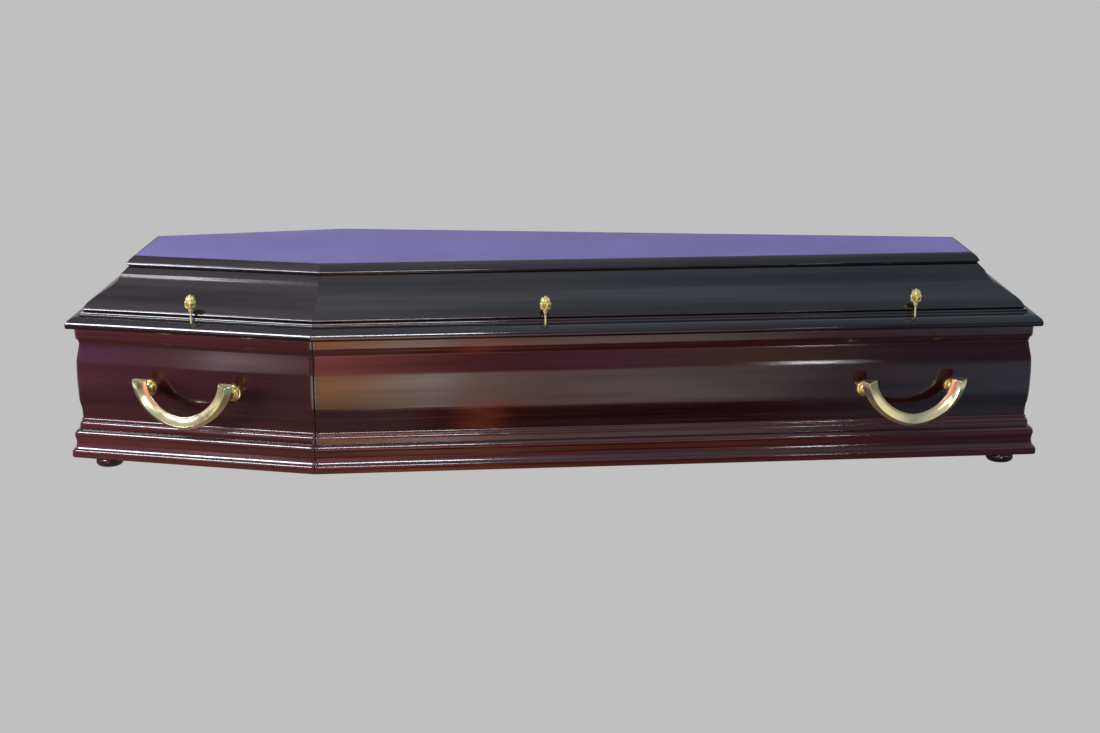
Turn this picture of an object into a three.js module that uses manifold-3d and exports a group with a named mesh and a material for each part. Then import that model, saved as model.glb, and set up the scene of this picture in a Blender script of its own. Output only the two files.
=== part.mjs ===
// A wooden coffin of the shouldered, six-sided kind, closed with its lid.
// The box has a moulded plinth on four bun feet and swelling side boards.
// The lid has a nosed flange, ogee slopes and a small frame round a flat violet panel.
// Four bow handles stand on the boards and six rosebud screws hold the lid.
//
// Millimetres. X runs from the head (-X) to the foot (+X), +Z is up and Z = 0 is the floor.
// The right side is the right hand of someone lying in it, so it faces -Y.

import * as THREE from "three";
import { mergeVertices } from "three/addons/utils/BufferGeometryUtils.js";
import Module from "manifold-3d";

const manifold = await Module();
manifold.setup();

// Plan, measured at the nosing of the plinth.
const LENGTH = 1980;
const HEAD_WIDTH = 440;
const SHOULDER_WIDTH = 690;
const FOOT_WIDTH = 418;
const SHOULDER_FROM_HEAD = 512;

// Joints between glued or seated pieces.
const JOINT_GAP = 0.3;

// Each moulding is a run of members from its lower edge to its upper edge.
// run is how far a member goes inwards, rise how far it goes up.
// bend is 0 for a straight member, towards 1 for a round and towards -1 for a hollow.
const PLINTH = [
  { member: "nosing underside", run: -4.5, rise: 4.5, bend: 1 },
  { member: "nosing face", run: 0, rise: 5.5, bend: 0 },
  { member: "nosing round", run: 3, rise: 7, bend: 0.9 },
  { member: "lower quirk", run: 0.8, rise: 0.5, bend: 0 },
  { member: "lower hollow", run: 4.7, rise: 13.5, bend: -0.5 },
  { member: "hollow under the bead", run: -2.2, rise: 12, bend: -0.5 },
  { member: "bead face", run: -0.3, rise: 3.5, bend: 0 },
  { member: "bead round", run: 7, rise: 10, bend: 1 },
  { member: "ledge", run: 2.5, rise: 0.8, bend: 0 },
  { member: "fillet", run: 0.3, rise: 6.5, bend: 0 },
  { member: "upper round", run: 3.2, rise: 9, bend: 1 },
  { member: "upper quirk", run: 0.6, rise: 0.4, bend: 0 },
  { member: "crown bead", run: 2, rise: 7.3, bend: 1 },
];
const PLINTH_TOP_THICKNESS = 2.4;

const BOARD = [
  { member: "neck", run: 0, rise: 8, bend: 0 },
  { member: "hollow over the neck", run: -2, rise: 17, bend: -0.6 },
  { member: "swell", run: -4.4, rise: 45, bend: 0.6 },
  { member: "crown of the swell", run: -0.3, rise: 20, bend: 0 },
  { member: "face over the crown", run: 0.3, rise: 17, bend: 0 },
  { member: "turn of the swell", run: 0.9, rise: 7, bend: 1 },
  { member: "upper slope", run: 5.5, rise: 38, bend: 0 },
  { member: "quirk under the rim", run: 0.5, rise: 3.5, bend: 0 },
  { member: "rim ledge", run: -1, rise: 2, bend: 0 },
  { member: "rim hollow", run: -2.5, rise: 7, bend: -0.5 },
  { member: "rim round", run: -3, rise: 8, bend: 0.8 },
  { member: "rim face", run: -0.7, rise: 13.9, bend: 0 },
];
const BOARD_LIP = 0.4;
const BOARD_THICKNESS = 28.7;

const FLANGE = [
  { member: "underside", run: -12, rise: 2.2, bend: 0 },
  { member: "nosing underside", run: -4, rise: 6, bend: 1 },
  { member: "nosing face", run: 0, rise: 1.5, bend: 0 },
  { member: "nosing round", run: 6, rise: 9.5, bend: 0.6 },
  { member: "long round", run: 14, rise: 5.8, bend: 0.4 },
  { member: "quirk", run: 1, rise: 0.3, bend: 0 },
  { member: "hollow", run: 6, rise: 3.4, bend: -0.6 },
  { member: "bead", run: 3.5, rise: 5, bend: 1 },
];
const FLANGE_OVERHANG = 0;

const SLOPE = [
  { member: "drip", run: -2, rise: 2.5, bend: 0 },
  { member: "lower edge", run: 0, rise: 1.5, bend: 0 },
  { member: "round", run: 20, rise: 20.7, bend: 0.3 },
  { member: "straight", run: 28, rise: 18, bend: 0 },
  { member: "hollow", run: 21, rise: 22, bend: -0.35 },
  { member: "arris", run: 0.8, rise: 3, bend: 1 },
  { member: "upper slope", run: 13.7, rise: 13, bend: 0 },
];
const SLOPE_SETBACK = 3.5;
const SLOPE_THICKNESS = 28;

const FRAME = [
  { member: "fillet", run: 0, rise: 1.2, bend: 0 },
  { member: "cove", run: -3.5, rise: 2.2, bend: -0.8 },
  { member: "edge", run: 0, rise: 1.3, bend: 0 },
  { member: "round", run: 16, rise: 16, bend: 0.4 },
];
const FRAME_LEDGE_WIDTH = 22;
const PANEL_THICKNESS = 11.4;

const BASE_THICKNESS = 18;

// Bun feet.
const FOOT_HEIGHT = 20;
const FOOT_RADIUS = 27.5;
const FOOT_TREAD_RADIUS = 14;
const FOOT_NECK_RADIUS = 23;
const FOOT_BELLY_HEIGHT = 9.5;
const FOOT_FROM_END = 65;
const FOOT_INSET = 32;

// Handles: a bow bent in half an ellipse on two turned bosses.
const HANDLE_FROM_HEAD = 256;
const HANDLE_FROM_FOOT = 269;
const HEAD_BOSS_ABOVE_PLINTH = 74;
const FOOT_BOSS_ABOVE_PLINTH = 66;
const BOW_INNER_HALF_WIDTH = 76.5;
const BOW_INNER_DROP = 65;
const BOW_SHARPNESS = 1.09;
const BOW_RIDGE_FROM_INSIDE = 17;
const BOW_OUTER_WIDTH = 14.5;
const BOW_OUTER_NARROWING = 0.45;
const BOW_SCOOP = 2;
const BOW_STANDOFF = 37;
const BOW_RIDGE_RISE = 15.5;
const BOW_INNER_RISE = 6;
const BOW_OUTER_RISE = 5.5;
const BOW_BACK_CHAMFER = 2.5;
const BOW_LEAN = 0.08;
const BOW_END_SLOPE = 0.4;
const BOSS_BELOW_BOW_END = 21;
const BOSS_HALF_SPACING = 90.5;
const BOSS_RADIUS = 17.5;
const BOSS_RING_RADIUS = 15;
const BOSS_GROOVE_RADIUS = 12.5;
const BOSS_STEM_RADIUS = 9.5;
const BOSS_PLATE = 4;
const BOSS_GROOVE = 2.5;
const BOSS_RING = 4;
const BOSS_BITE = 4;

// Lid screws.
const SCREW_FROM_END = 260;
const MIDDLE_SCREW_FROM_HEAD = 973;
const SCREW_INSET = 21;
const SCREW_HEIGHT = 57;
const SCREW_STEM_RADIUS = 2.4;
const SCREW_STEM_LENGTH = 19;
const SCREW_BITE = 12;
const SCREW_CUP_LENGTH = 10;
const SCREW_CUP_RADIUS = 4.7;
const BUD_RADIUS = 11.6;
const BUD_PETALS = 5;
const BUD_PETAL_SWELL = 0.11;

// Facets.
const CURVE_SEGMENTS = 4;
const BOW_STEPS = 20;
const ROUND_SEGMENTS = 20;
const HOLE_SEGMENTS = 10;
const PETAL_SEGMENTS = 3;

const woodFinish = { color: 0x32110f, roughness: 0.12, metalness: 0 };
const brassFinish = { color: 0xd9c36a, roughness: 0.16, metalness: 1 };
const violetFinish = { color: 0x7a6fab, roughness: 0.7, metalness: 0 };

// Sums of a moulding's members.
const riseOf = (members) => members.reduce((sum, m) => sum + m.rise, 0);
const runOf = (members) => members.reduce((sum, m) => sum + m.run, 0);

// The least inset that a moulding reaches when it starts at the given one.
function outermostInset(members, start) {
  let inset = start;
  let least = start;
  for (const m of members) {
    inset += m.run;
    least = Math.min(least, inset);
  }
  return least;
}

// Start insets, so that the nosing of the plinth lies on the plan line, and the flange over it.
const plinthStart = -outermostInset(PLINTH, 0);
const plinthTopInset = plinthStart + runOf(PLINTH);
const rebateInset = plinthTopInset + PLINTH_TOP_THICKNESS;
const boardStart = plinthTopInset + BOARD_LIP;
const boardOuterInset = outermostInset(BOARD, boardStart);
const boardInnerInset = boardOuterInset + BOARD_THICKNESS;
const flangeStart = -outermostInset(FLANGE, 0) - FLANGE_OVERHANG;
const flangeTopInset = flangeStart + runOf(FLANGE);
const slopeStart = flangeTopInset + SLOPE_SETBACK;
const slopeInnerInset = slopeStart + SLOPE_THICKNESS;
const slopeTopInset = slopeStart + runOf(SLOPE);
const frameStart = slopeTopInset;
const panelInset = frameStart + runOf(FRAME) + JOINT_GAP;

// Heights, each standing on the one below.
const plinthBottom = FOOT_HEIGHT;
const plinthTop = plinthBottom + riseOf(PLINTH);
const baseTop = plinthBottom + BASE_THICKNESS;
const boardLipHeight = plinthTop + JOINT_GAP;
const boardTop = boardLipHeight + riseOf(BOARD);
const flangeBottom = boardTop + JOINT_GAP;
const flangeTop = flangeBottom + riseOf(FLANGE);
const slopeBottom = flangeTop + JOINT_GAP;
const slopeTop = slopeBottom + riseOf(SLOPE);
const frameBottom = slopeTop + JOINT_GAP;
const frameTop = frameBottom + riseOf(FRAME);
const panelTop = frameTop - JOINT_GAP;
const frameLedge = panelTop - PANEL_THICKNESS - JOINT_GAP;

// The six corners of the plan, anticlockwise from above.
const headX = -LENGTH / 2;
const footX = LENGTH / 2;
const shoulderX = headX + SHOULDER_FROM_HEAD;
const PLAN = [
  new THREE.Vector2(headX, -HEAD_WIDTH / 2),
  new THREE.Vector2(shoulderX, -SHOULDER_WIDTH / 2),
  new THREE.Vector2(footX, -FOOT_WIDTH / 2),
  new THREE.Vector2(footX, FOOT_WIDTH / 2),
  new THREE.Vector2(shoulderX, SHOULDER_WIDTH / 2),
  new THREE.Vector2(headX, HEAD_WIDTH / 2),
];
const SIDE_NAMES = ["right_shoulder", "right_flank", "foot", "left_flank", "left_shoulder", "head"];

const outwardOf = (direction) => new THREE.Vector2(direction.y, -direction.x);
const corner = (i) => PLAN[(i + PLAN.length) % PLAN.length];

// How a corner moves inwards for each millimetre of inset of its two sides.
function mitreOf(i) {
  const before = outwardOf(corner(i).clone().sub(corner(i - 1)).normalize());
  const after = outwardOf(corner(i + 1).clone().sub(corner(i)).normalize());
  return before.clone().add(after).divideScalar(-(1 + before.dot(after)));
}

const insetCorner = (i, inset) => corner(i).clone().addScaledVector(mitreOf(i), inset);

// The six sides: ends, direction, outward normal, and how far a mitre is set back for its joint.
const SIDES = SIDE_NAMES.map((name, i) => {
  const direction = corner(i + 1).clone().sub(corner(i)).normalize();
  const setback = (mitre) => JOINT_GAP / 2 / Math.abs(direction.cross(mitre.clone().normalize()));
  return {
    name,
    start: i,
    end: i + 1,
    direction,
    outward: outwardOf(direction),
    startSetback: setback(mitreOf(i)),
    endSetback: setback(mitreOf(i + 1)),
  };
});

// The point of a side at a given X, moved inwards by an inset.
function stationOn(side, x, inset) {
  const from = corner(side.start);
  const along = (x - from.x) / side.direction.x;
  return from.clone().addScaledVector(side.direction, along).addScaledVector(side.outward, -inset);
}

// Continues a path through a moulding's members, each a quadratic curve or a line.
function followMembers(path, members, inset, height) {
  let x = inset;
  let y = height;
  for (const { run, rise, bend } of members) {
    const nextX = x + run;
    const nextY = y + rise;
    const roundX = Math.min(x, nextX);
    const roundY = run > 0 ? nextY : y;
    const middleX = (x + nextX) / 2;
    const middleY = (y + nextY) / 2;
    if (bend === 0) path.lineTo(nextX, nextY);
    else {
      const controlX = middleX + bend * (roundX - middleX);
      const controlY = middleY + bend * (roundY - middleY);
      path.quadraticCurveTo(controlX, controlY, nextX, nextY);
    }
    x = nextX;
    y = nextY;
  }
}

// An extrusion of unit depth whose points (u, v, t) are then carried to place(u, v, t).
function carriedExtrusion(shape, steps, place) {
  const options = { depth: 1, steps, curveSegments: CURVE_SEGMENTS, bevelEnabled: false };
  const geometry = new THREE.ExtrudeGeometry(shape, options);
  const position = geometry.getAttribute("position");
  for (let i = 0; i < position.count; i++) {
    const p = place(position.getX(i), position.getY(i), position.getZ(i));
    position.setXYZ(i, p.x, p.y, p.z);
  }
  geometry.computeVertexNormals();
  return geometry;
}

// A moulding along one side of the plan, mitred at both corners.
function mitredBar(shape, side) {
  return carriedExtrusion(shape, 1, (inset, height, t) => {
    const from = insetCorner(side.start, inset).addScaledVector(side.direction, side.startSetback);
    const to = insetCorner(side.end, inset).addScaledVector(side.direction, -side.endSetback);
    const p = from.lerp(to, t);
    return new THREE.Vector3(p.x, p.y, height);
  });
}

// A flat board in the outline of the plan at an inset.
function plate(inset, bottom, top) {
  const shape = new THREE.Shape(PLAN.map((_, i) => insetCorner(i, inset)));
  const geometry = new THREE.ExtrudeGeometry(shape, { depth: top - bottom, bevelEnabled: false });
  return geometry.translate(0, 0, bottom);
}

// Solids for joining and cutting.
function solidOf(geometry) {
  const bare = new THREE.BufferGeometry();
  bare.setAttribute("position", geometry.getAttribute("position").clone());
  if (geometry.index) bare.setIndex(geometry.index.clone());
  const merged = mergeVertices(bare, 1e-4);
  const mesh = new manifold.Mesh({
    numProp: 3,
    vertProperties: merged.getAttribute("position").array,
    triVerts: new Uint32Array(merged.index.array),
  });
  return new manifold.Manifold(mesh);
}

function geometryOf(solid) {
  const { vertProperties, triVerts } = solid.getMesh();
  const geometry = new THREE.BufferGeometry();
  geometry.setAttribute("position", new THREE.BufferAttribute(vertProperties, 3));
  geometry.setIndex(new THREE.BufferAttribute(triVerts, 1));
  geometry.computeVertexNormals();
  return geometry;
}

// An upright turned solid from radius and height pairs; it starts and ends on the axis.
const turned = (pairs, segments) =>
  new THREE.LatheGeometry(pairs.map(([r, h]) => new THREE.Vector2(r, h)), segments).rotateX(Math.PI / 2);

const material = (finish) => new THREE.MeshStandardMaterial(finish);
const coffin = new THREE.Group();
const box = new THREE.Group();
const lid = new THREE.Group();
coffin.add(box, lid);

function addPiece(group, name, geometry, finish) {
  const mesh = new THREE.Mesh(geometry, material(finish));
  mesh.name = name;
  group.add(mesh);
  return mesh;
}

// Places along the sides: a screw near each end, and one between.
const HANDS = ["right", "left"];
const SCREW_STATIONS = [
  ["head", headX + SCREW_FROM_END],
  ["foot", footX - SCREW_FROM_END],
  ["middle", headX + MIDDLE_SCREW_FROM_HEAD],
];
const sideAt = (hand, x) => SIDES.find((s) => s.name === `${hand}_${x < shoulderX ? "shoulder" : "flank"}`);
const SCREW_PLACES = HANDS.flatMap((hand) =>
  SCREW_STATIONS.map(([where, x]) => ({
    name: `${hand}_${where}`,
    side: sideAt(hand, x),
    at: stationOn(sideAt(hand, x), x, SCREW_INSET),
  })),
);

// The height of the flange's upper face at an inset, found along its members.
function flangeHeightAt(inset) {
  const path = new THREE.Path();
  path.moveTo(flangeStart, flangeBottom);
  followMembers(path, FLANGE, flangeStart, flangeBottom);
  const upper = path.getPoints(ROUND_SEGMENTS).filter((p) => p.y > flangeBottom + riseOf(FLANGE) / 3);
  const after = upper.findIndex((p) => p.x >= inset);
  const a = upper[after - 1];
  const b = upper[after];
  return a.y + ((inset - a.x) / (b.x - a.x)) * (b.y - a.y);
}
const screwEntry = flangeHeightAt(SCREW_INSET);
const screwBottom = boardTop - SCREW_BITE;

// A moulding with the screw holes of its side cut through it.
function withScrewHoles(geometry, side, bottom) {
  const holes = SCREW_PLACES.filter((place) => place.side === side);
  if (!holes.length) return geometry;
  const radius = SCREW_STEM_RADIUS + JOINT_GAP;
  const height = slopeTop - bottom;
  let solid = solidOf(geometry);
  for (const { at } of holes) {
    const drill = new THREE.CylinderGeometry(radius, radius, height, HOLE_SEGMENTS).rotateX(Math.PI / 2);
    drill.translate(at.x, at.y, bottom + height / 2);
    solid = solid.subtract(solidOf(drill));
  }
  return geometryOf(solid);
}

// Plinth mouldings, glued round the foot of the box.
const plinthShape = new THREE.Shape();
plinthShape.moveTo(rebateInset, plinthBottom);
plinthShape.lineTo(plinthStart, plinthBottom);
followMembers(plinthShape, PLINTH, plinthStart, plinthBottom);
plinthShape.lineTo(rebateInset, plinthTop);
plinthShape.closePath();

// Side boards, rebated behind the plinth and standing on the base board.
const boardFoot = baseTop + JOINT_GAP;
const boardShape = new THREE.Shape();
boardShape.moveTo(boardInnerInset, boardFoot);
boardShape.lineTo(rebateInset + JOINT_GAP, boardFoot);
boardShape.lineTo(rebateInset + JOINT_GAP, boardLipHeight);
boardShape.lineTo(boardStart, boardLipHeight);
followMembers(boardShape, BOARD, boardStart, boardLipHeight);
boardShape.lineTo(boardInnerInset, boardTop);
boardShape.closePath();

// Lid flange, resting on the rim of the box.
const flangeShape = new THREE.Shape();
flangeShape.moveTo(slopeInnerInset, flangeBottom);
flangeShape.lineTo(flangeStart, flangeBottom);
followMembers(flangeShape, FLANGE, flangeStart, flangeBottom);
flangeShape.lineTo(slopeInnerInset, flangeTop);
flangeShape.closePath();

// Lid slopes, boards of even thickness with an ogee worked on the outside.
const slopeShape = new THREE.Shape();
slopeShape.moveTo(slopeInnerInset, slopeBottom);
slopeShape.lineTo(slopeStart, slopeBottom);
followMembers(slopeShape, SLOPE, slopeStart, slopeBottom);
slopeShape.lineTo(slopeTopInset + SLOPE_THICKNESS, slopeTop);
slopeShape.closePath();

// Lid frame, with a ledge that carries the panel.
const frameShape = new THREE.Shape();
const frameInnerInset = panelInset + FRAME_LEDGE_WIDTH;
frameShape.moveTo(frameInnerInset, frameBottom);
frameShape.lineTo(frameStart, frameBottom);
followMembers(frameShape, FRAME, frameStart, frameBottom);
frameShape.lineTo(frameStart + runOf(FRAME), frameLedge);
frameShape.lineTo(frameInnerInset, frameLedge);
frameShape.closePath();

for (const side of SIDES) {
  addPiece(box, `plinth_${side.name}`, mitredBar(plinthShape, side), woodFinish);
  const board = withScrewHoles(mitredBar(boardShape, side), side, screwBottom - JOINT_GAP);
  addPiece(box, `side_board_${side.name}`, board, woodFinish);
  const flange = withScrewHoles(mitredBar(flangeShape, side), side, screwBottom - JOINT_GAP);
  addPiece(lid, `lid_flange_${side.name}`, flange, woodFinish);
  addPiece(lid, `lid_slope_${side.name}`, mitredBar(slopeShape, side), woodFinish);
  addPiece(lid, `lid_frame_${side.name}`, mitredBar(frameShape, side), woodFinish);
}
addPiece(box, "base_board", plate(rebateInset + JOINT_GAP, plinthBottom, baseTop), woodFinish);
addPiece(lid, "lid_panel", plate(panelInset, frameLedge + JOINT_GAP, panelTop), violetFinish);

// Bun feet: a flat tread, a round belly and a neck under the base.
function bunFoot() {
  const top = plinthBottom - JOINT_GAP;
  const roundOf = (edge, height, share) => {
    const angle = (share * Math.PI) / 2;
    const r = edge + (FOOT_RADIUS - edge) * Math.cos(angle);
    return [r, FOOT_BELLY_HEIGHT + (height - FOOT_BELLY_HEIGHT) * Math.sin(angle)];
  };
  const lower = [1, 0.67, 0.33, 0].map((share) => roundOf(FOOT_TREAD_RADIUS, 0, share));
  const upper = [0.5, 1].map((share) => roundOf(FOOT_NECK_RADIUS, top, share));
  return turned([[0, 0], ...lower, ...upper, [0, top]], ROUND_SEGMENTS);
}
const FOOT_STATIONS = [
  ["head", headX + FOOT_FROM_END],
  ["foot", footX - FOOT_FROM_END],
];
for (const hand of HANDS) {
  for (const [where, x] of FOOT_STATIONS) {
    const at = stationOn(sideAt(hand, x), x, FOOT_INSET);
    addPiece(box, `bun_foot_${hand}_${where}`, bunFoot(), woodFinish).position.set(at.x, at.y, 0);
  }
}

// A bow handle in its own frame: X along the board, -Y out of it, Z = 0 at the bosses.
// The section has a scooped inner face, a ridge and a slanting outer face that narrows downwards.
function bowHandle() {
  const ridgeDepth = BOW_STANDOFF + BOW_RIDGE_RISE;
  const bowWidth = BOW_RIDGE_FROM_INSIDE + BOW_OUTER_WIDTH;
  const scoopDepth = BOW_STANDOFF + (BOW_INNER_RISE + BOW_RIDGE_RISE) / 2 - BOW_SCOOP * 2;
  const section = new THREE.Shape();
  section.moveTo(BOW_BACK_CHAMFER, BOW_STANDOFF);
  section.lineTo(0, BOW_STANDOFF + BOW_BACK_CHAMFER);
  section.lineTo(0, BOW_STANDOFF + BOW_INNER_RISE);
  section.quadraticCurveTo(BOW_RIDGE_FROM_INSIDE / 2, scoopDepth, BOW_RIDGE_FROM_INSIDE, ridgeDepth);
  section.lineTo(bowWidth, BOW_STANDOFF + BOW_OUTER_RISE);
  section.lineTo(bowWidth - BOW_BACK_CHAMFER, BOW_STANDOFF);
  section.closePath();
  const bow = carriedExtrusion(section, BOW_STEPS, (out, depth, t) => {
    const turn = Math.PI * (1 - t);
    const across = Math.sign(Math.cos(turn)) * Math.abs(Math.cos(turn)) ** BOW_SHARPNESS;
    const down = Math.abs(Math.sin(turn)) ** BOW_SHARPNESS;
    const outside = Math.max(0, out - BOW_RIDGE_FROM_INSIDE);
    const reach = out - outside * BOW_OUTER_NARROWING * down;
    const drop = (BOW_INNER_DROP + reach) * down;
    const lift = BOW_END_SLOPE * (ridgeDepth - depth) * (1 - down);
    const x = -(BOW_INNER_HALF_WIDTH + reach) * across;
    return new THREE.Vector3(x, -depth - BOW_LEAN * drop, BOSS_BELOW_BOW_END + lift - drop);
  });
  const ring = BOSS_PLATE + BOSS_GROOVE;
  const profile = [
    [0, 0],
    [BOSS_RADIUS, 0],
    [BOSS_RADIUS, BOSS_PLATE],
    [BOSS_GROOVE_RADIUS, ring],
    [BOSS_RING_RADIUS, ring + BOSS_RING / 2],
    [BOSS_STEM_RADIUS, ring + BOSS_RING],
    [BOSS_STEM_RADIUS, BOW_STANDOFF + BOSS_BITE],
    [0, BOW_STANDOFF + BOSS_BITE],
  ];
  let handle = solidOf(bow);
  for (const end of [-1, 1]) {
    const boss = turned(profile, ROUND_SEGMENTS).rotateX(Math.PI / 2).translate(end * BOSS_HALF_SPACING, 0, 0);
    handle = handle.add(solidOf(boss));
  }
  return geometryOf(handle);
}
const HANDLE_STATIONS = [
  ["head", headX + HANDLE_FROM_HEAD, HEAD_BOSS_ABOVE_PLINTH],
  ["foot", footX - HANDLE_FROM_FOOT, FOOT_BOSS_ABOVE_PLINTH],
];
for (const hand of HANDS) {
  for (const [where, x, height] of HANDLE_STATIONS) {
    const side = sideAt(hand, x);
    const at = stationOn(side, x, boardOuterInset - JOINT_GAP);
    const handle = addPiece(box, `handle_${hand}_${where}`, bowHandle(), brassFinish);
    handle.position.set(at.x, at.y, plinthTop + height);
    handle.rotation.z = Math.atan2(side.direction.y, side.direction.x);
  }
}

// A lid screw: a plain shank, a fluted cup and a bud of two tiers of petals, one tier between the other.
function lidScrew() {
  const cupBottom = SCREW_STEM_LENGTH;
  const budBottom = cupBottom + SCREW_CUP_LENGTH;
  const budHeight = SCREW_HEIGHT - budBottom;
  // Each ring: radius, height, how far its petals swell, and whether they stand between the lower ones.
  const rings = [
    [SCREW_STEM_RADIUS, screwBottom - screwEntry, 0, 0],
    [SCREW_STEM_RADIUS, cupBottom, 0, 0],
    [SCREW_CUP_RADIUS, budBottom - 1, 0, 0],
    [SCREW_CUP_RADIUS * 0.9, budBottom, 0, 0],
    [BUD_RADIUS * 0.74, budBottom + budHeight * 0.08, BUD_PETAL_SWELL, 0],
    [BUD_RADIUS * 0.96, budBottom + budHeight * 0.26, BUD_PETAL_SWELL, 0],
    [BUD_RADIUS, budBottom + budHeight * 0.48, BUD_PETAL_SWELL, 0],
    [BUD_RADIUS * 0.82, budBottom + budHeight * 0.7, BUD_PETAL_SWELL, 1],
    [BUD_RADIUS * 0.5, budBottom + budHeight * 0.87, BUD_PETAL_SWELL, 1],
  ];
  const around = BUD_PETALS * PETAL_SEGMENTS;
  const positions = [];
  for (const [radius, height, swell, between] of rings) {
    for (let k = 0; k < around; k++) {
      const angle = (2 * Math.PI * k) / around;
      const petal = Math.cos(BUD_PETALS * angle + Math.PI * between);
      const r = radius * (1 + swell * petal);
      positions.push(r * Math.cos(angle), r * Math.sin(angle), height);
    }
  }
  const bottom = positions.length / 3;
  positions.push(0, 0, screwBottom - screwEntry, 0, 0, SCREW_HEIGHT);
  const faces = [];
  for (let k = 0; k < around; k++) {
    const next = (k + 1) % around;
    faces.push(bottom, next, k);
    for (let ring = 0; ring < rings.length - 1; ring++) {
      const low = ring * around;
      const high = low + around;
      faces.push(low + k, low + next, high + next, low + k, high + next, high + k);
    }
    const last = (rings.length - 1) * around;
    faces.push(last + k, last + next, bottom + 1);
  }
  const geometry = new THREE.BufferGeometry();
  geometry.setAttribute("position", new THREE.Float32BufferAttribute(positions, 3));
  geometry.setIndex(faces);
  geometry.computeVertexNormals();
  return geometry;
}
for (const { name, at } of SCREW_PLACES) {
  addPiece(lid, `lid_screw_${name}`, lidScrew(), brassFinish).position.set(at.x, at.y, screwEntry);
}

export default coffin;
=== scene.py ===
"""A closed, shouldered wooden coffin: smooth mouldings, brass fittings, violet panel and finishes.

Every length is in metres. X runs from the head (-X) to the foot (+X), +Z is up and Z = 0 is the floor.
Each piece is a tube of rings capped at both ends: a moulding's section carried along a side of the plan,
a handle's section carried round its bow, or circles carried up the axis of a turned piece.
"""

import logging
import math
from dataclasses import dataclass
from enum import Enum

import bpy
import numpy as np
from mathutils import Matrix, Vector


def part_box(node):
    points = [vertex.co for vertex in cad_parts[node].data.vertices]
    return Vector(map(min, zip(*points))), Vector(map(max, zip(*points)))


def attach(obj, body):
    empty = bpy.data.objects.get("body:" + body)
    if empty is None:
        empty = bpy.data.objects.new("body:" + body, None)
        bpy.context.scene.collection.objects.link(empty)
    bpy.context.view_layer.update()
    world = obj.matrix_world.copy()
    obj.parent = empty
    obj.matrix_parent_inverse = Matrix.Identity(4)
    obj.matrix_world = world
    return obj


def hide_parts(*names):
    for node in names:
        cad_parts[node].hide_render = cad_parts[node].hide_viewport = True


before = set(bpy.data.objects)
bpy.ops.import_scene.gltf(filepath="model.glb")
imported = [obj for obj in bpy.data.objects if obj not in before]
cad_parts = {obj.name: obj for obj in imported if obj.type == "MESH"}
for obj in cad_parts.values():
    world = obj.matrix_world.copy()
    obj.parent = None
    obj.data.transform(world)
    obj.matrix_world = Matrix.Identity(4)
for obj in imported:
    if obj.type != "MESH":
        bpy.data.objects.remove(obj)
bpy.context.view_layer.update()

Array = np.ndarray
Socket = bpy.types.NodeSocket
Band = tuple[float, float]
Place = tuple[float, float, float]
Colour = tuple[float, float, float]
Stops = tuple[tuple[float, Colour], ...]
log = logging.getLogger("coffin")

MM = 0.001
JOINT_GAP = 0.3 * MM
MITRE_GAP = 0.1 * MM
# Degrees between two faces from which the arris between them looks sharp.
SHARP_ANGLE = 32.0
# Most of the values of a soft noise lie in this band.
MIDDLE_NOISE: Band = (0.3, 0.7)


class Hand(Enum):
    """The two long sides of the coffin, by the hand of someone lying in it."""

    RIGHT = "right"
    LEFT = "left"


class End(Enum):
    """Where a fitting stands along the coffin."""

    HEAD = "head"
    MIDDLE = "middle"
    FOOT = "foot"


@dataclass(frozen=True)
class Member:
    """One member of a moulding, in millimetres: run inwards, rise upwards.

    bend is 0 for a straight member, towards 1 for a round and towards -1 for a hollow.
    """

    run: float
    rise: float
    bend: float = 0.0


@dataclass(frozen=True)
class Side:
    """One side of the plan: a straight line between two mitred corners."""

    name: str
    start: Array
    end: Array
    start_mitre: Array
    end_mitre: Array

    @property
    def direction(self) -> Array:
        """Unit vector along the side, anticlockwise from above."""
        return (self.end - self.start) / np.linalg.norm(self.end - self.start)

    @property
    def outward(self) -> Array:
        """Unit vector out of the coffin, square to the side."""
        return np.array([self.direction[1], -self.direction[0]])

    def setback(self, mitre: Array) -> float:
        """Length along the side that half a joint gap takes at a mitre."""
        unit = mitre / np.linalg.norm(mitre)
        return MITRE_GAP / 2 / abs(self.direction[0] * unit[1] - self.direction[1] * unit[0])

    def station(self, x: float, inset: float) -> Array:
        """The point of the side at a given X, moved inwards.

        Args:
            x: place along the coffin.
            inset: how far the point lies inside the plan's line.

        Returns:
            The point's X and Y.
        """
        along = (x - self.start[0]) / self.direction[0]
        return self.start + self.direction * along - self.outward * inset


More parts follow.
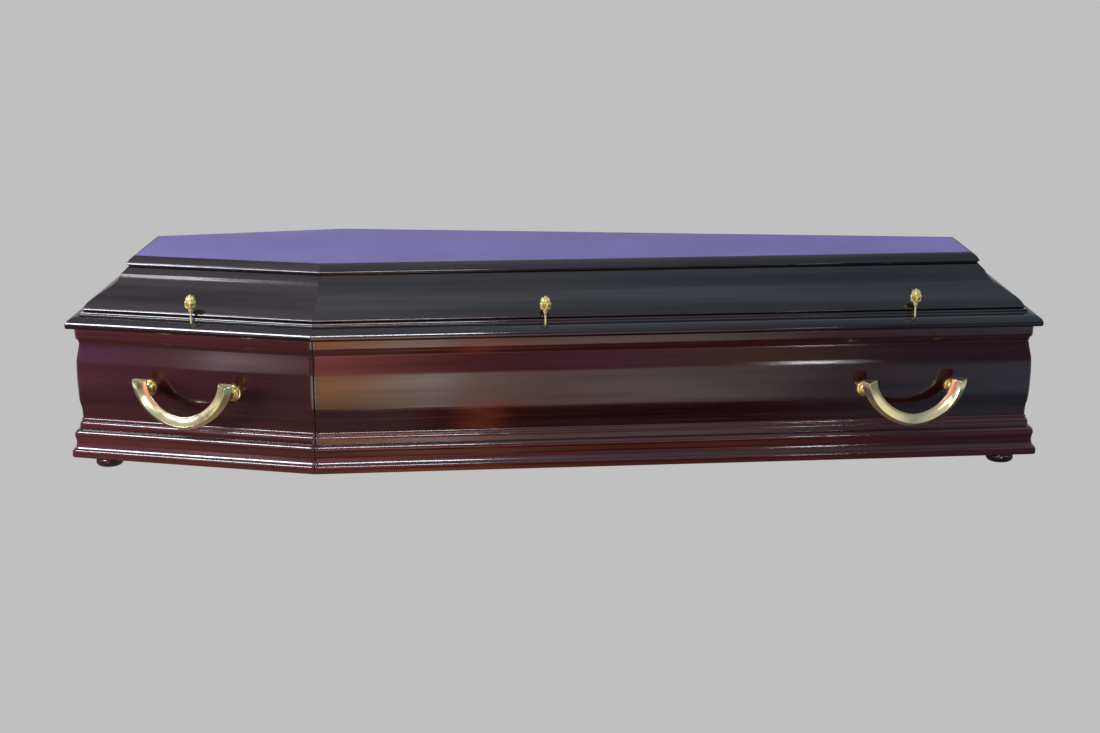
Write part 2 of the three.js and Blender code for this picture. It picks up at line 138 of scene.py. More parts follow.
@dataclass(frozen=True)
class Plan:
    """The six-cornered plan, measured at the nosing of the plinth."""

    length: float = 1.980
    head_width: float = 0.440
    shoulder_width: float = 0.690
    foot_width: float = 0.418
    shoulder_from_head: float = 0.512

    @property
    def head_x(self) -> float:
        """X of the head end."""
        return -self.length / 2

    @property
    def foot_x(self) -> float:
        """X of the foot end."""
        return self.length / 2

    @property
    def shoulder_x(self) -> float:
        """X of the shoulders."""
        return self.head_x + self.shoulder_from_head

    def x_from(self, end: End, distance: float) -> float:
        """X of a fitting a distance in millimetres from the foot, or from the head for any other end."""
        return self.foot_x - distance * MM if end is End.FOOT else self.head_x + distance * MM

    def corners(self) -> Array:
        """The six corners, anticlockwise from above, from the right of the head."""
        half = [self.head_width / 2, self.shoulder_width / 2, self.foot_width / 2]
        xs = [self.head_x, self.shoulder_x, self.foot_x]
        right = [(x, -y) for x, y in zip(xs, half)]
        left = [(x, y) for x, y in zip(xs, half)]
        return np.array(right + left[::-1])

    def mitres(self) -> Array:
        """How each corner moves for each metre that both its sides move inwards.

        Returns:
            Six vectors: minus the sum of the two outward normals over one plus their dot product.
        """
        corners = self.corners()
        direction = np.roll(corners, -1, axis=0) - corners
        direction /= np.linalg.norm(direction, axis=1, keepdims=True)
        after = np.stack([direction[:, 1], -direction[:, 0]], axis=1)
        before = np.roll(after, 1, axis=0)
        return -(before + after) / (1 + (before * after).sum(axis=1, keepdims=True))

    def outline(self, inset: float) -> Array:
        """The six corners of the plan moved inwards by an inset."""
        return self.corners() + self.mitres() * inset

    def sides(self) -> list[Side]:
        """The six sides, in the order of their first corners."""
        names = ["right_shoulder", "right_flank", "foot", "left_flank", "left_shoulder", "head"]
        corners = self.corners()
        mitres = self.mitres()
        following = [(i + 1) % len(names) for i in range(len(names))]
        return [
            Side(name, corners[i], corners[k], mitres[i], mitres[k])
            for i, (name, k) in enumerate(zip(names, following))
        ]

    def side_at(self, hand: Hand, x: float) -> Side:
        """The long side on one hand at a given X."""
        part = "shoulder" if x < self.shoulder_x else "flank"
        return next(side for side in self.sides() if side.name == f"{hand.value}_{part}")


PLAN = Plan()


# Profiles


def follow(members: tuple[Member, ...], start: tuple[float, float]) -> Array:
    """Points along a moulding's members, one after the other.

    Each member is a quadratic curve: (1-t)^2 * from + 2t(1-t) * control + t^2 * to, whose control point
    moves from the middle of the chord towards the corner of a round, or away from it for a hollow.

    Args:
        members: the members, from the lower edge to the upper edge.
        start: inset and height of the first point, in millimetres.

    Returns:
        An array of insets and heights in millimetres.
    """
    t = np.linspace(0.0, 1.0, 33)[1:, None]
    at = np.array(start, float)
    pieces = [at[None]]
    for member in members:
        to = at + [member.run, member.rise]
        middle = (at + to) / 2
        corner = np.array([min(at[0], to[0]), to[1] if member.run > 0 else at[1]])
        control = middle + member.bend * (corner - middle)
        pieces.append((1 - t) ** 2 * at + 2 * t * (1 - t) * control + t**2 * to)
        at = to
    return np.concatenate(pieces)


def evenly(points: Array, step: float) -> Array:
    """Points at even steps of length along a polyline.

    Args:
        points: the polyline's points.
        step: the wished distance between points.

    Returns:
        The new points, the first and last of the old ones among them.
    """
    lengths = np.linalg.norm(np.diff(points, axis=0), axis=1)
    kept = np.concatenate([[True], lengths > 1e-9])
    points = points[kept]
    along = np.concatenate([[0.0], np.cumsum(lengths[lengths > 1e-9])])
    count = max(int(math.ceil(along[-1] / step)), 2)
    at = np.linspace(0.0, along[-1], count + 1)
    return np.stack([np.interp(at, along, points[:, k]) for k in range(points.shape[1])], axis=1)


def blurred(values: Array, sigma: float, closed: bool) -> Array:
    """Values along a line, averaged with a bell curve of a given width in samples.

    Args:
        values: one row for each sample.
        sigma: width of the bell curve, in samples.
        closed: whether the last sample is followed by the first.

    Returns:
        The averaged rows. An open line keeps its two ends, because it is continued point for point.
    """
    reach = int(math.ceil(3 * sigma))
    bell = np.exp(-0.5 * (np.arange(-reach, reach + 1) / sigma) ** 2)
    bell /= bell.sum()
    if closed:
        padded = np.concatenate([values[-reach:], values, values[:reach]])
    else:
        before = 2 * values[0] - values[reach:0:-1]
        after = 2 * values[-1] - values[-2 : -reach - 2 : -1]
        padded = np.concatenate([before, values, after])
    return np.stack([np.convolve(padded[:, k], bell, "valid") for k in range(values.shape[1])], axis=1)


@dataclass(frozen=True)
class Outline:
    """A smooth outline: its points, its length up to each point, and how hollow or proud each one lies.

    stain says how red the wood is at each point, from 0 to 1.
    """

    points: Array
    along: Array
    tone: Array
    stain: Array

    def stained(self, low: float, lower: float, upper: float) -> "Outline":
        """The outline with a redder stain above a height.

        Args:
            low: the height where the stain changes, in metres.
            lower: stain under that height.
            upper: stain over it.

        Returns:
            The stained outline.
        """
        stain = np.where(self.points[:, 1] > low, upper, lower)
        return Outline(self.points, self.along, self.tone, stain)


def soften(
    points: Array, closed: bool, softness: float = 0.4, step: float = 5.0, turn: float = 6.0
) -> Outline:
    """Rounds the arrises of an outline and spaces its points by length and by turning.

    The outline is sampled finely and averaged with a bell curve, which rounds every arris a little.
    Points are then set where length / step + turning / turn passes a whole number.
    The tone is the turning for each millimetre, averaged over a few millimetres: proud parts are positive.

    Args:
        points: the corners of the outline in millimetres.
        closed: whether the outline closes on itself.
        softness: width of the rounding, in millimetres.
        step: largest distance between points, in millimetres.
        turn: largest turn between points, in degrees.

    Returns:
        The outline in metres.
    """
    fine, tone_width = 0.1, 1.6
    if closed:
        dense = evenly(np.concatenate([points, points[:1]]), fine)[:-1]
    else:
        dense = evenly(points, fine)
    dense = blurred(dense, softness / fine, closed)
    loop = np.concatenate([dense, dense[:1]]) if closed else dense
    leg = np.diff(loop, axis=0)
    length = np.linalg.norm(leg, axis=1)
    heading = np.unwrap(np.arctan2(leg[:, 1], leg[:, 0]))
    turns = round((heading[-1] - heading[0]) / (2 * np.pi))
    bend = np.diff(heading, append=heading[0] + turns * 2 * np.pi)
    if not closed:
        bend[-1] = 0.0
    mass = np.concatenate([[0.0], np.cumsum(length / step + np.abs(np.degrees(bend)) / turn)])
    count = max(int(math.ceil(mass[-1])), 8)
    at = np.linspace(0.0, mass[-1], count + 1)
    along = np.concatenate([[0.0], np.cumsum(length)])
    spread = blurred(bend[:, None], tone_width / fine, closed)[:, 0] / fine
    spread = np.append(spread, spread[0])
    new = np.stack([np.interp(at, mass, loop[:, k]) for k in range(2)], axis=1)
    tone = np.interp(at, mass, -spread)
    keep = slice(None, -1) if closed else slice(None)
    return Outline(new[keep] * MM, np.interp(at, mass, along) * MM, tone[keep], np.zeros(len(new[keep])))


def shrunk(points: Array, depth: float) -> Array:
    """A closed outline moved inwards along its own normals by a depth."""
    leg = np.roll(points, -1, axis=0) - np.roll(points, 1, axis=0)
    leg /= np.maximum(np.linalg.norm(leg, axis=1, keepdims=True), 1e-12)
    following = np.roll(points, -1, axis=0)
    area = 0.5 * (points[:, 0] * following[:, 1] - following[:, 0] * points[:, 1]).sum()
    inwards = np.stack([-leg[:, 1], leg[:, 0]], axis=1) * math.copysign(1.0, area)
    return points + inwards * depth


def rounded_end(radius: float, count: int = 6) -> list[tuple[float, float]]:
    """Distances from an end, with the depth that a quarter round takes off the outline at each."""
    angles = np.linspace(0.0, math.pi / 2, count)
    return [(radius * (1 - math.cos(a)), radius * (1 - math.sin(a))) for a in angles]


def set_back(section: Array, depth: float) -> Array:
    """A section moved inwards by a depth, less and less over the last 4 mm before its innermost edge."""
    share = np.clip((section[:, :1].max() - section[:, :1]) / (4 * MM), 0.0, 1.0)
    return section + np.hstack([depth * share, 0 * share])


# Meshes


@dataclass(frozen=True)
class Tube:
    """Rings of points, each joined to the next and both ends capped, with places for a pattern."""

    rings: Array
    up: Array
    around: Array
    tone: Array
    stain: Array

    def quads(self) -> Array:
        """Corner numbers of the faces between rings, in the order ring, column."""
        rows, columns = self.rings.shape[:2]
        row, column = np.meshgrid(np.arange(rows - 1), np.arange(columns), indexing="ij")
        beside = (column + 1) % columns
        corners = [
            row * columns + column,
            row * columns + beside,
            (row + 1) * columns + beside,
            (row + 1) * columns + column,
        ]
        return np.stack(corners, axis=-1).reshape(-1, 4)

    def quad_places(self) -> Array:
        """Pattern places of the faces' corners: length up the tube and length round it."""
        rows, columns = self.rings.shape[:2]
        row, column = np.meshgrid(np.arange(rows - 1), np.arange(columns), indexing="ij")
        up = np.stack([self.up[row], self.up[row], self.up[row + 1], self.up[row + 1]], axis=-1)
        around = [self.around[column], self.around[column + 1], self.around[column + 1], self.around[column]]
        return np.stack([up, np.stack(around, axis=-1)], axis=-1).reshape(-1, 2)

    def cap_places(self, ring: Array, start: float) -> Array:
        """Pattern places of a cap's corners: its points laid flat on its two longest directions."""
        centred = ring - ring.mean(axis=0)
        axes = np.linalg.svd(centred, full_matrices=False)[2][:2]
        return centred @ axes.T + start

    def signed_volume(self) -> float:
        """Six times the volume inside, negative where the faces point inwards."""
        points = self.rings.reshape(-1, 3) - self.rings.reshape(-1, 3).mean(axis=0)
        quads = self.quads()
        a, b, c, d = (points[quads[:, k]] for k in range(4))
        sides = np.einsum("ij,ij->i", a, np.cross(b, c)) + np.einsum("ij,ij->i", a, np.cross(c, d))
        columns = self.rings.shape[1]
        low = points[:columns][::-1]
        high = points[-columns:]
        caps = 0.0
        for ring in (low, high):
            centre = ring.mean(axis=0)
            caps += np.einsum("j,ij->", centre, np.cross(ring, np.roll(ring, -1, axis=0)))
        return float(sides.sum() + caps)


def mesh_of(name: str, tubes: list[Tube]) -> bpy.types.Mesh:
    """One mesh from one or more tubes, with faces outwards, a pattern map and a tone attribute.

    Args:
        name: the mesh's name.
        tubes: the tubes, each a closed shell.

    Returns:
        The finished mesh, smooth except at sharp arrises.
    """
    points: list[Array] = []
    faces: list[list[int]] = []
    places: list[Array] = []
    tones: list[Array] = []
    stains: list[Array] = []
    first = 0
    for tube in tubes:
        rows, columns = tube.rings.shape[:2]
        quads = tube.quads() + first
        quad_places = tube.quad_places().reshape(-1, 4, 2)
        low = np.arange(columns)[::-1] + first
        high = np.arange(columns) + first + (rows - 1) * columns
        low_places = tube.cap_places(tube.rings[0], tube.up[0])[::-1]
        high_places = tube.cap_places(tube.rings[-1], tube.up[-1])
        if tube.signed_volume() < 0:
            quads, quad_places = quads[:, ::-1], quad_places[:, ::-1]
            low, high = low[::-1], high[::-1]
            low_places, high_places = low_places[::-1], high_places[::-1]
        faces += quads.tolist() + [low.tolist(), high.tolist()]
        places += [quad_places.reshape(-1, 2), low_places, high_places]
        points.append(tube.rings.reshape(-1, 3))
        tones.append(np.broadcast_to(tube.tone, (rows, columns)).ravel())
        stains.append(np.broadcast_to(tube.stain, (rows, columns)).ravel())
        first += rows * columns
    mesh = bpy.data.meshes.new(name)
    mesh.from_pydata(np.concatenate(points).tolist(), [], faces)
    layer = mesh.uv_layers.new(name="UVMap")
    layer.uv.foreach_set("vector", np.concatenate(places).astype(np.float32).ravel())
    for label, values in (("tone", tones), ("stain", stains)):
        layer = mesh.attributes.new(label, "FLOAT", "POINT")
        layer.data.foreach_set("value", np.concatenate(values).astype(np.float32))
    mesh.shade_smooth()
    mesh.set_sharp_from_angle(angle=math.radians(SHARP_ANGLE))
    mesh.update()
    return mesh


@dataclass(frozen=True)
class Finish:
    """A built material and the record's material slot that it stands for."""

    material: bpy.types.Material
    slot: str


def add_piece(name: str, node: str, tubes: list[Tube], finish: Finish) -> None:
    """Adds a piece that stands for a CAD node and rides on the body.

    Args:
        name: the piece's name.
        node: the CAD node that it replaces.
        tubes: its closed shells, in place.
        finish: the finish whose material it takes; its slot is not applied here.
    """
    mesh = mesh_of(name, tubes)
    mesh.materials.append(finish.material)
    piece = bpy.data.objects.new(name, mesh)
    bpy.context.scene.collection.objects.link(piece)
    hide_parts(node)
    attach(piece, "root")
    low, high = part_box(node)
    co = np.concatenate([tube.rings.reshape(-1, 3) for tube in tubes])
    beyond = max((np.array(low) - co.min(axis=0)).max(), (co.max(axis=0) - np.array(high)).max())
    log.info("%s: %d faces, %.2f mm beyond its solid", name, len(mesh.polygons), beyond / MM)


# Finishes


class Graph:
    """A node tree that is written one node at a time."""

    def __init__(self, tree: bpy.types.NodeTree) -> None:
        """Takes the tree and clears it."""
        self.tree = tree
        tree.nodes.clear()

    def add(self, kind: str, inputs: dict | None = None, **settings: object) -> bpy.types.Node:
        """Adds one node.

        Args:
            kind: the node's type.
            inputs: values or sockets for its inputs, by name or number. A colour has three numbers.
            settings: the node's own properties.

        Returns:
            The new node.
        """
        node = self.tree.nodes.new(kind)
        for key, value in settings.items():
            setattr(node, key, value)
        for key, value in (inputs or {}).items():
            socket = node.inputs[key]
            if isinstance(value, bpy.types.NodeSocket):
                self.tree.links.new(value, socket)
            else:
                socket.default_value = (*value, 1.0) if socket.type == "RGBA" else value
        return node

    def math(self, operation: str, *values: object) -> Socket:
        """The result of one Math node."""
        return self.add("ShaderNodeMath", dict(enumerate(values)), operation=operation).outputs[0]

    def off(self, value: object, centre: float) -> Socket:
        """How far a value lies from a centre."""
        return self.math("ABSOLUTE", self.math("SUBTRACT", value, centre))

    def mix(self, share: object, a: object, b: object, blend: str = "MIX") -> Socket:
        """The result of one colour Mix node."""
        node = self.add("ShaderNodeMix", {0: share, 6: a, 7: b}, data_type="RGBA", blend_type=blend)
        return node.outputs[2]

    def ramp(self, share: object, stops: Stops) -> Socket:
        """A colour ramp.

        Args:
            share: the value that is looked up.
            stops: places from 0 to 1 with their colours.

        Returns:
            The colour socket.
        """
        node = self.add("ShaderNodeValToRGB", {0: share})
        elements = node.color_ramp.elements
        elements.remove(elements[1])
        elements[0].position = stops[0][0]
        elements[0].color = (*stops[0][1], 1.0)
        for place, colour in stops[1:]:
            elements.new(place).color = (*colour, 1.0)
        return node.outputs[0]

    def spread(self, value: object, band: Band, stops: Stops) -> Socket:
        """A colour ramp whose stops are places in a band of values."""
        low, high = band
        share = self.add("ShaderNodeMapRange", {0: value, 1: low, 2: high, 3: 0.0, 4: 1.0}).outputs[0]
        return self.ramp(share, [((place - low) / (high - low), colour) for place, colour in stops])

    def range(self, value: object, band: Band, start: float = 0.0, end: float = 1.0) -> Socket:
        """A value mapped smoothly from a band to the range between a start and an end."""
        inputs = {0: value, 1: band[0], 2: band[1], 3: start, 4: end}
        return self.add("ShaderNodeMapRange", inputs, interpolation_type="SMOOTHSTEP").outputs[0]

    def noise(self, place: Socket, scale: float, detail: float, rough: float = 0.5) -> Socket:
        """Soft noise at a scale."""
        inputs = {"Vector": place, "Scale": scale, "Detail": detail, "Roughness": rough}
        return self.add("ShaderNodeTexNoise", inputs).outputs["Fac"]

    def attribute(self, name: str) -> Socket:
        """A value that the mesh holds at each point."""
        return self.add("ShaderNodeAttribute", attribute_name=name).outputs["Fac"]

    def place(self, kind: str) -> Socket:
        """One kind of texture coordinates."""
        return self.add("ShaderNodeTexCoord").outputs[kind]

    def bump(self, height: Socket, strength: float, distance: float = MM) -> Socket:
        """The normals of a surface raised by a height."""
        inputs = {"Height": height, "Strength": strength, "Distance": distance}
        return self.add("ShaderNodeBump", inputs).outputs[0]

    def surface(self, kind: str, inputs: dict, output: str = "ShaderNodeOutputMaterial") -> None:
        """Adds the shader and joins it to the output."""
        self.add(output, {0: self.add(kind, inputs).outputs[0]})


def new_material(name: str) -> tuple[bpy.types.Material, Graph]:
    """An empty material and the graph that fills it."""
    made = bpy.data.materials.new(name)
    made.use_nodes = True
    return made, Graph(made.node_tree)


def group_tree(name: str, inputs: dict[str, str], outputs: dict[str, str]) -> bpy.types.NodeTree:
    """An empty shader node group with named sockets.

    Args:
        name: the group's name.
        inputs: socket types by name.
        outputs: socket types by name.

    Returns:
        The group's tree.
    """
    tree = bpy.data.node_groups.new(name, "ShaderNodeTree")
    for way, sockets in (("INPUT", inputs), ("OUTPUT", outputs)):
        for label, kind in sockets.items():
            tree.interface.new_socket(label, in_out=way, socket_type=kind)
    return tree


def grain_group() -> bpy.types.NodeTree:
    """Wood grain along the first coordinate, given in metres.

    Bands are noise stretched along the board, pores are finer noise stretched the same way,
    the lacquer sinks a little in streaks along the grain, and its own waviness and specks are
    round noise a few millimetres wide.

    Returns:
        A group that puts out the bands, the pores and the height of the lacquer.
    """
    number = "NodeSocketFloat"
    tree = group_tree(
        "board_grain",
        {"Vector": "NodeSocketVector", "Seed": number},
        {"Bands": number, "Pores": number, "Height": number},
    )
    g = Graph(tree)
    vector, seed = g.add("NodeGroupInput").outputs[:2]
    shift = g.add("ShaderNodeCombineXYZ", {0: seed, 1: seed}).outputs[0]
    at = g.add("ShaderNodeVectorMath", {0: vector, 1: shift}, operation="ADD").outputs[0]

    def stretched(along: float, across: float, detail: float, rough: float = 0.5) -> Socket:
        """Noise with its own scales along and across the board."""
        scales = (along, across, 1.0)
        mapped = g.add("ShaderNodeMapping", {"Vector": at, "Scale": scales}, vector_type="POINT")
        return g.noise(mapped.outputs[0], 1.0, detail, rough)

    wide = stretched(1.3, 26.0, 3.0)
    narrow = stretched(4.0, 190.0, 3.0, 0.55)
    pores = stretched(22.0, 1100.0, 2.0)
    peel = stretched(180.0, 420.0, 1.0)
    speckle = stretched(520.0, 560.0, 1.0)
    streaks = stretched(2.0, 60.0, 2.0)
    bands = g.math("MULTIPLY_ADD", wide, 0.8, g.math("MULTIPLY", narrow, 0.2))
    ripple = g.math("MULTIPLY_ADD", peel, 0.45, g.math("MULTIPLY", speckle, 0.45))
    height = g.math("MULTIPLY_ADD", pores, 0.3, g.math("MULTIPLY_ADD", streaks, 3.2, ripple))
    g.add("NodeGroupOutput", {"Bands": bands, "Pores": pores, "Height": height})
    return tree


@dataclass(frozen=True)
class LacqueredWood:
    """Dark stained hardwood under a deep gloss lacquer."""

    name: str
    slot: str
    dark: Colour
    middle: Colour
    red: Colour
    seed: float = 0.0
    contrast: Band = (0.34, 0.66)
    proud: Band = (0.02, 0.35)
    hollow: Band = (-0.25, -0.02)
    roughness: float = 0.08
    specular: float = 0.8
    coat: float = 0.6
    coat_roughness: float = 0.03
    bump: float = 0.13

    def finish(self, grain: bpy.types.NodeTree) -> Finish:
        """Builds the finish: stain by the grain's bands, redder on proud arrises, darker in hollows.

        Args:
            grain: the grain group.

        Returns:
            The finish.
        """
        made, g = new_material(self.name)
        place = g.add("ShaderNodeUVMap", uv_map="UVMap").outputs[0]
        wood = g.add("ShaderNodeGroup", {"Vector": place, "Seed": self.seed}, node_tree=grain)
        bands, pores, height = wood.outputs[:3]
        low, high = self.contrast
        plain = g.ramp(bands, ((low, self.dark), (high, self.middle)))
        warm = g.ramp(bands, ((low, self.middle), (high, self.red)))
        tone = g.attribute("tone")
        stain = g.mix(g.attribute("stain"), plain, warm)
        worn = g.mix(g.range(tone, self.proud, 0.0, 0.6), stain, self.red)
        g.surface(
            "ShaderNodeBsdfPrincipled",
            {
                "Base Color": g.mix(g.range(tone, self.hollow, 0.8, 0.0), worn, self.dark),
                "Roughness": g.range(pores, MIDDLE_NOISE, self.roughness * 0.8, self.roughness * 1.35),
                "Specular IOR Level": self.specular,
                "Coat Weight": g.range(bands, (0.36, 0.64), self.coat * 0.45, self.coat * 1.55),
                "Coat Roughness": self.coat_roughness,
                "Coat IOR": 1.5,
                "Normal": g.bump(height, self.bump),
            },
        )
        return Finish(made, self.slot)


@dataclass(frozen=True)
class Brass:
    """Pale brass with faint casting waviness and duller hollows."""

    name: str = "polished_brass"
    bright: Colour = (0.88, 0.84, 0.53)
    deep: Colour = (0.60, 0.46, 0.10)
    # Near-black painted into small holes: painted shade.
    painted_hole_shade: Colour = (0.030, 0.020, 0.008)
    hollow: Band = (-0.2, 0.0)
    hole: Band = (-0.9, -0.45)
    cloud_scale: float = 55.0
    fine_scale: float = 900.0
    roughness: float = 0.17
    metallic: float = 0.93
    bump: float = 0.05

    def finish(self) -> Finish:
        """Builds the finish: metal whose hollows are deeper in colour and whose small holes are painted
        near-black, as painted shade.

        Returns:
            The finish.
        """
        made, g = new_material(self.name)
        place, tone = g.place("Object"), g.attribute("tone")
        cloud = g.noise(place, self.cloud_scale, 3.0)
        fine = g.noise(place, self.fine_scale, 2.0)
        tarnish = g.math("MULTIPLY_ADD", cloud, 0.35, g.range(tone, self.hollow, 0.8, 0.0))
        metal = g.mix(tarnish, self.bright, self.deep)
        height = g.math("MULTIPLY_ADD", cloud, 0.9, g.math("MULTIPLY", fine, 0.1))
        g.surface(
            "ShaderNodeBsdfPrincipled",
            {
                # Small holes are painted near-black: painted shade.
                "Base Color": g.mix(g.range(tone, self.hole, 1.0, 0.0), metal, self.painted_hole_shade),
                "Metallic": self.metallic,
                "Roughness": g.range(cloud, MIDDLE_NOISE, self.roughness * 0.7, self.roughness * 1.5),
                "Normal": g.bump(height, self.bump),
            },
        )
        return Finish(made, "brass")


@dataclass(frozen=True)
class VioletCloth:
    """Taut violet cloth with a fine plain weave."""

    name: str = "violet_cloth"
    shade: Colour = (0.187, 0.170, 0.527)
    light: Colour = (0.241, 0.222, 0.680)
    gaps: Colour = (0.08, 0.07, 0.2)
    sheen: Colour = (0.75, 0.7, 1.0)
    threads: float = 1400.0
    slow_scale: float = 4.0
    nap_scale: float = 320.0
    bump: float = 0.25
    thread_height: float = 0.0003

    def finish(self) -> Finish:
        """Builds the finish: two crossed sets of threads, a faint nap and slow changes of shade.

        The weave is half the product of two sine waves, along and across, plus a half.

        Returns:
            The finish.
        """
        made, g = new_material(self.name)
        place = g.place("Object")
        ways = g.add("ShaderNodeSeparateXYZ", {0: place}).outputs[:2]
        warp, weft = (g.math("SINE", g.math("MULTIPLY", way, self.threads * math.pi)) for way in ways)
        weave = g.math("MULTIPLY_ADD", g.math("MULTIPLY", warp, weft), 0.5, 0.5)
        slow = g.noise(place, self.slow_scale, 3.0)
        nap = g.noise(place, self.nap_scale, 2.0)
        share = g.math("MULTIPLY_ADD", slow, 0.7, g.math("MULTIPLY", nap, 0.3))
        tinted = g.mix(g.range(share, (0.35, 0.65)), self.shade, self.light)
        height = g.math("MULTIPLY_ADD", weave, 0.7, g.math("MULTIPLY", nap, 0.3))
        g.surface(
            "ShaderNodeBsdfPrincipled",
            {
                "Base Color": g.mix(g.math("MULTIPLY", weave, 0.10), tinted, self.gaps),
                "Roughness": g.range(nap, MIDDLE_NOISE, 0.72, 0.86),
                "Specular IOR Level": 0.25,
                "Sheen Weight": 0.35,
                "Sheen Roughness": 0.45,
                "Sheen Tint": self.sheen,
                "Normal": g.bump(height, self.bump, self.thread_height),
            },
        )
        return Finish(made, self.name)


@dataclass(frozen=True)
class Finishes:
    """The finishes of the coffin, each built once."""

    lacquer: Finish
    lid: Finish
    foot: Finish
    brass: Finish
    satin: Finish
    cloth: Finish

    @staticmethod
    def build() -> "Finishes":
        """Builds every finish, the lacquers on one shared grain.

        Returns:
            The finishes.
        """
        grain = grain_group()
        lacquer = LacqueredWood(
            "mahogany_lacquer",
            "mahogany_lacquer",
            dark=(0.012, 0.003, 0.004),
            middle=(0.030, 0.006, 0.007),
            red=(0.082, 0.013, 0.012),
        )
        # The lid is the same mahogany lacquer as the box, painted much darker: painted shade on the lid's
        # upward faces.
        lid = LacqueredWood(
            "shaded_lid_lacquer",
            "mahogany_lacquer",
            dark=(0.004, 0.0025, 0.003),
            middle=(0.009, 0.0035, 0.004),
            red=(0.022, 0.005, 0.006),
            seed=9.1,
        )
        foot = LacqueredWood(
            "foot_lacquer",
            "foot_lacquer",
            dark=(0.010, 0.005, 0.005),
            middle=(0.018, 0.008, 0.007),
            red=(0.035, 0.012, 0.010),
            seed=3.7,
        )
        satin = Brass("satin_brass", (0.88, 0.83, 0.40), (0.40, 0.28, 0.03), roughness=0.42, metallic=0.75)
        woods = [wood.finish(grain) for wood in (lacquer, lid, foot)]
        return Finishes(*woods, Brass().finish(), satin.finish(), VioletCloth().finish())


# Box and lid


def mitred_tube(outline: Outline, side: Side, offset: float, ease: float) -> Tube:
    """A moulding along one side of the plan: its section carried between the two mitres.

    A point of the section at an inset and a height lies at corner + mitre * inset at either end.
    Near each end the section is set back along a quarter round, so the mitre's arris is eased, and one more
    ring behind it keeps the rounding out of the long faces.

    Args:
        outline: the section, as insets and heights.
        side: the side of the plan.
        offset: where the board's pattern starts along its grain.
        ease: radius of the eased arris.

    Returns:
        The capped tube.
    """
    profile = outline.points
    steps = [*rounded_end(ease), (3 * ease, 0.0)]
    length = np.linalg.norm(side.end - side.start)
    ends = (
        (side.start, side.start_mitre, 1.0, offset, steps),
        (side.end, side.end_mitre, -1.0, offset + length, steps[::-1]),
    )
    rings, up = [], []
    for corner, mitre, way, pattern, places in ends:
        gap = side.setback(mitre)
        for distance, depth in places:
            section = set_back(profile, depth)
            plan = corner + mitre * section[:, :1] + side.direction * (way * (gap + distance))
            rings.append(np.column_stack([plan, section[:, 1]]))
            up.append(pattern + way * distance)
    return Tube(np.array(rings), np.array(up), outline.along, outline.tone, outline.stain)


def plate_tube(plan: Plan, inset: float, bottom: float, top: float, roll: float, offset: float) -> Tube:
    """A flat board in the outline of the plan, its upper and lower arrises rolled over.

    Each ring is the plan's outline at an inset and a height, which together follow a quarter round.

    Args:
        plan: the plan.
        inset: how far the board lies inside the plan's line.
        bottom: height of its underside.
        top: height of its upper face.
        roll: radius of the rolled arris.
        offset: where the board's pattern starts.

    Returns:
        The capped tube.
    """
    angles = np.linspace(0.0, math.pi / 2, 7)
    low = [(inset + roll * (1 - math.sin(a)), bottom + roll * (1 - math.cos(a))) for a in angles]
    high = [(inset + roll * (1 - math.cos(a)), top - roll * (1 - math.sin(a))) for a in angles]
    rows = [(inset + roll * 2, bottom), *low, *high, (inset + roll * 2, top)]
    rings = np.array([np.column_stack([plan.outline(i), np.full(6, z)]) for i, z in rows])
    up = np.concatenate([[0.0], np.cumsum(np.linalg.norm(np.diff(rings[:, 0], axis=0), axis=1))]) + offset
    span = np.linalg.norm(np.diff(np.vstack([rings[0], rings[0][:1]]), axis=0), axis=1)
    return Tube(rings, up, np.concatenate([[0.0], np.cumsum(span)]), np.zeros(6), np.zeros(6))


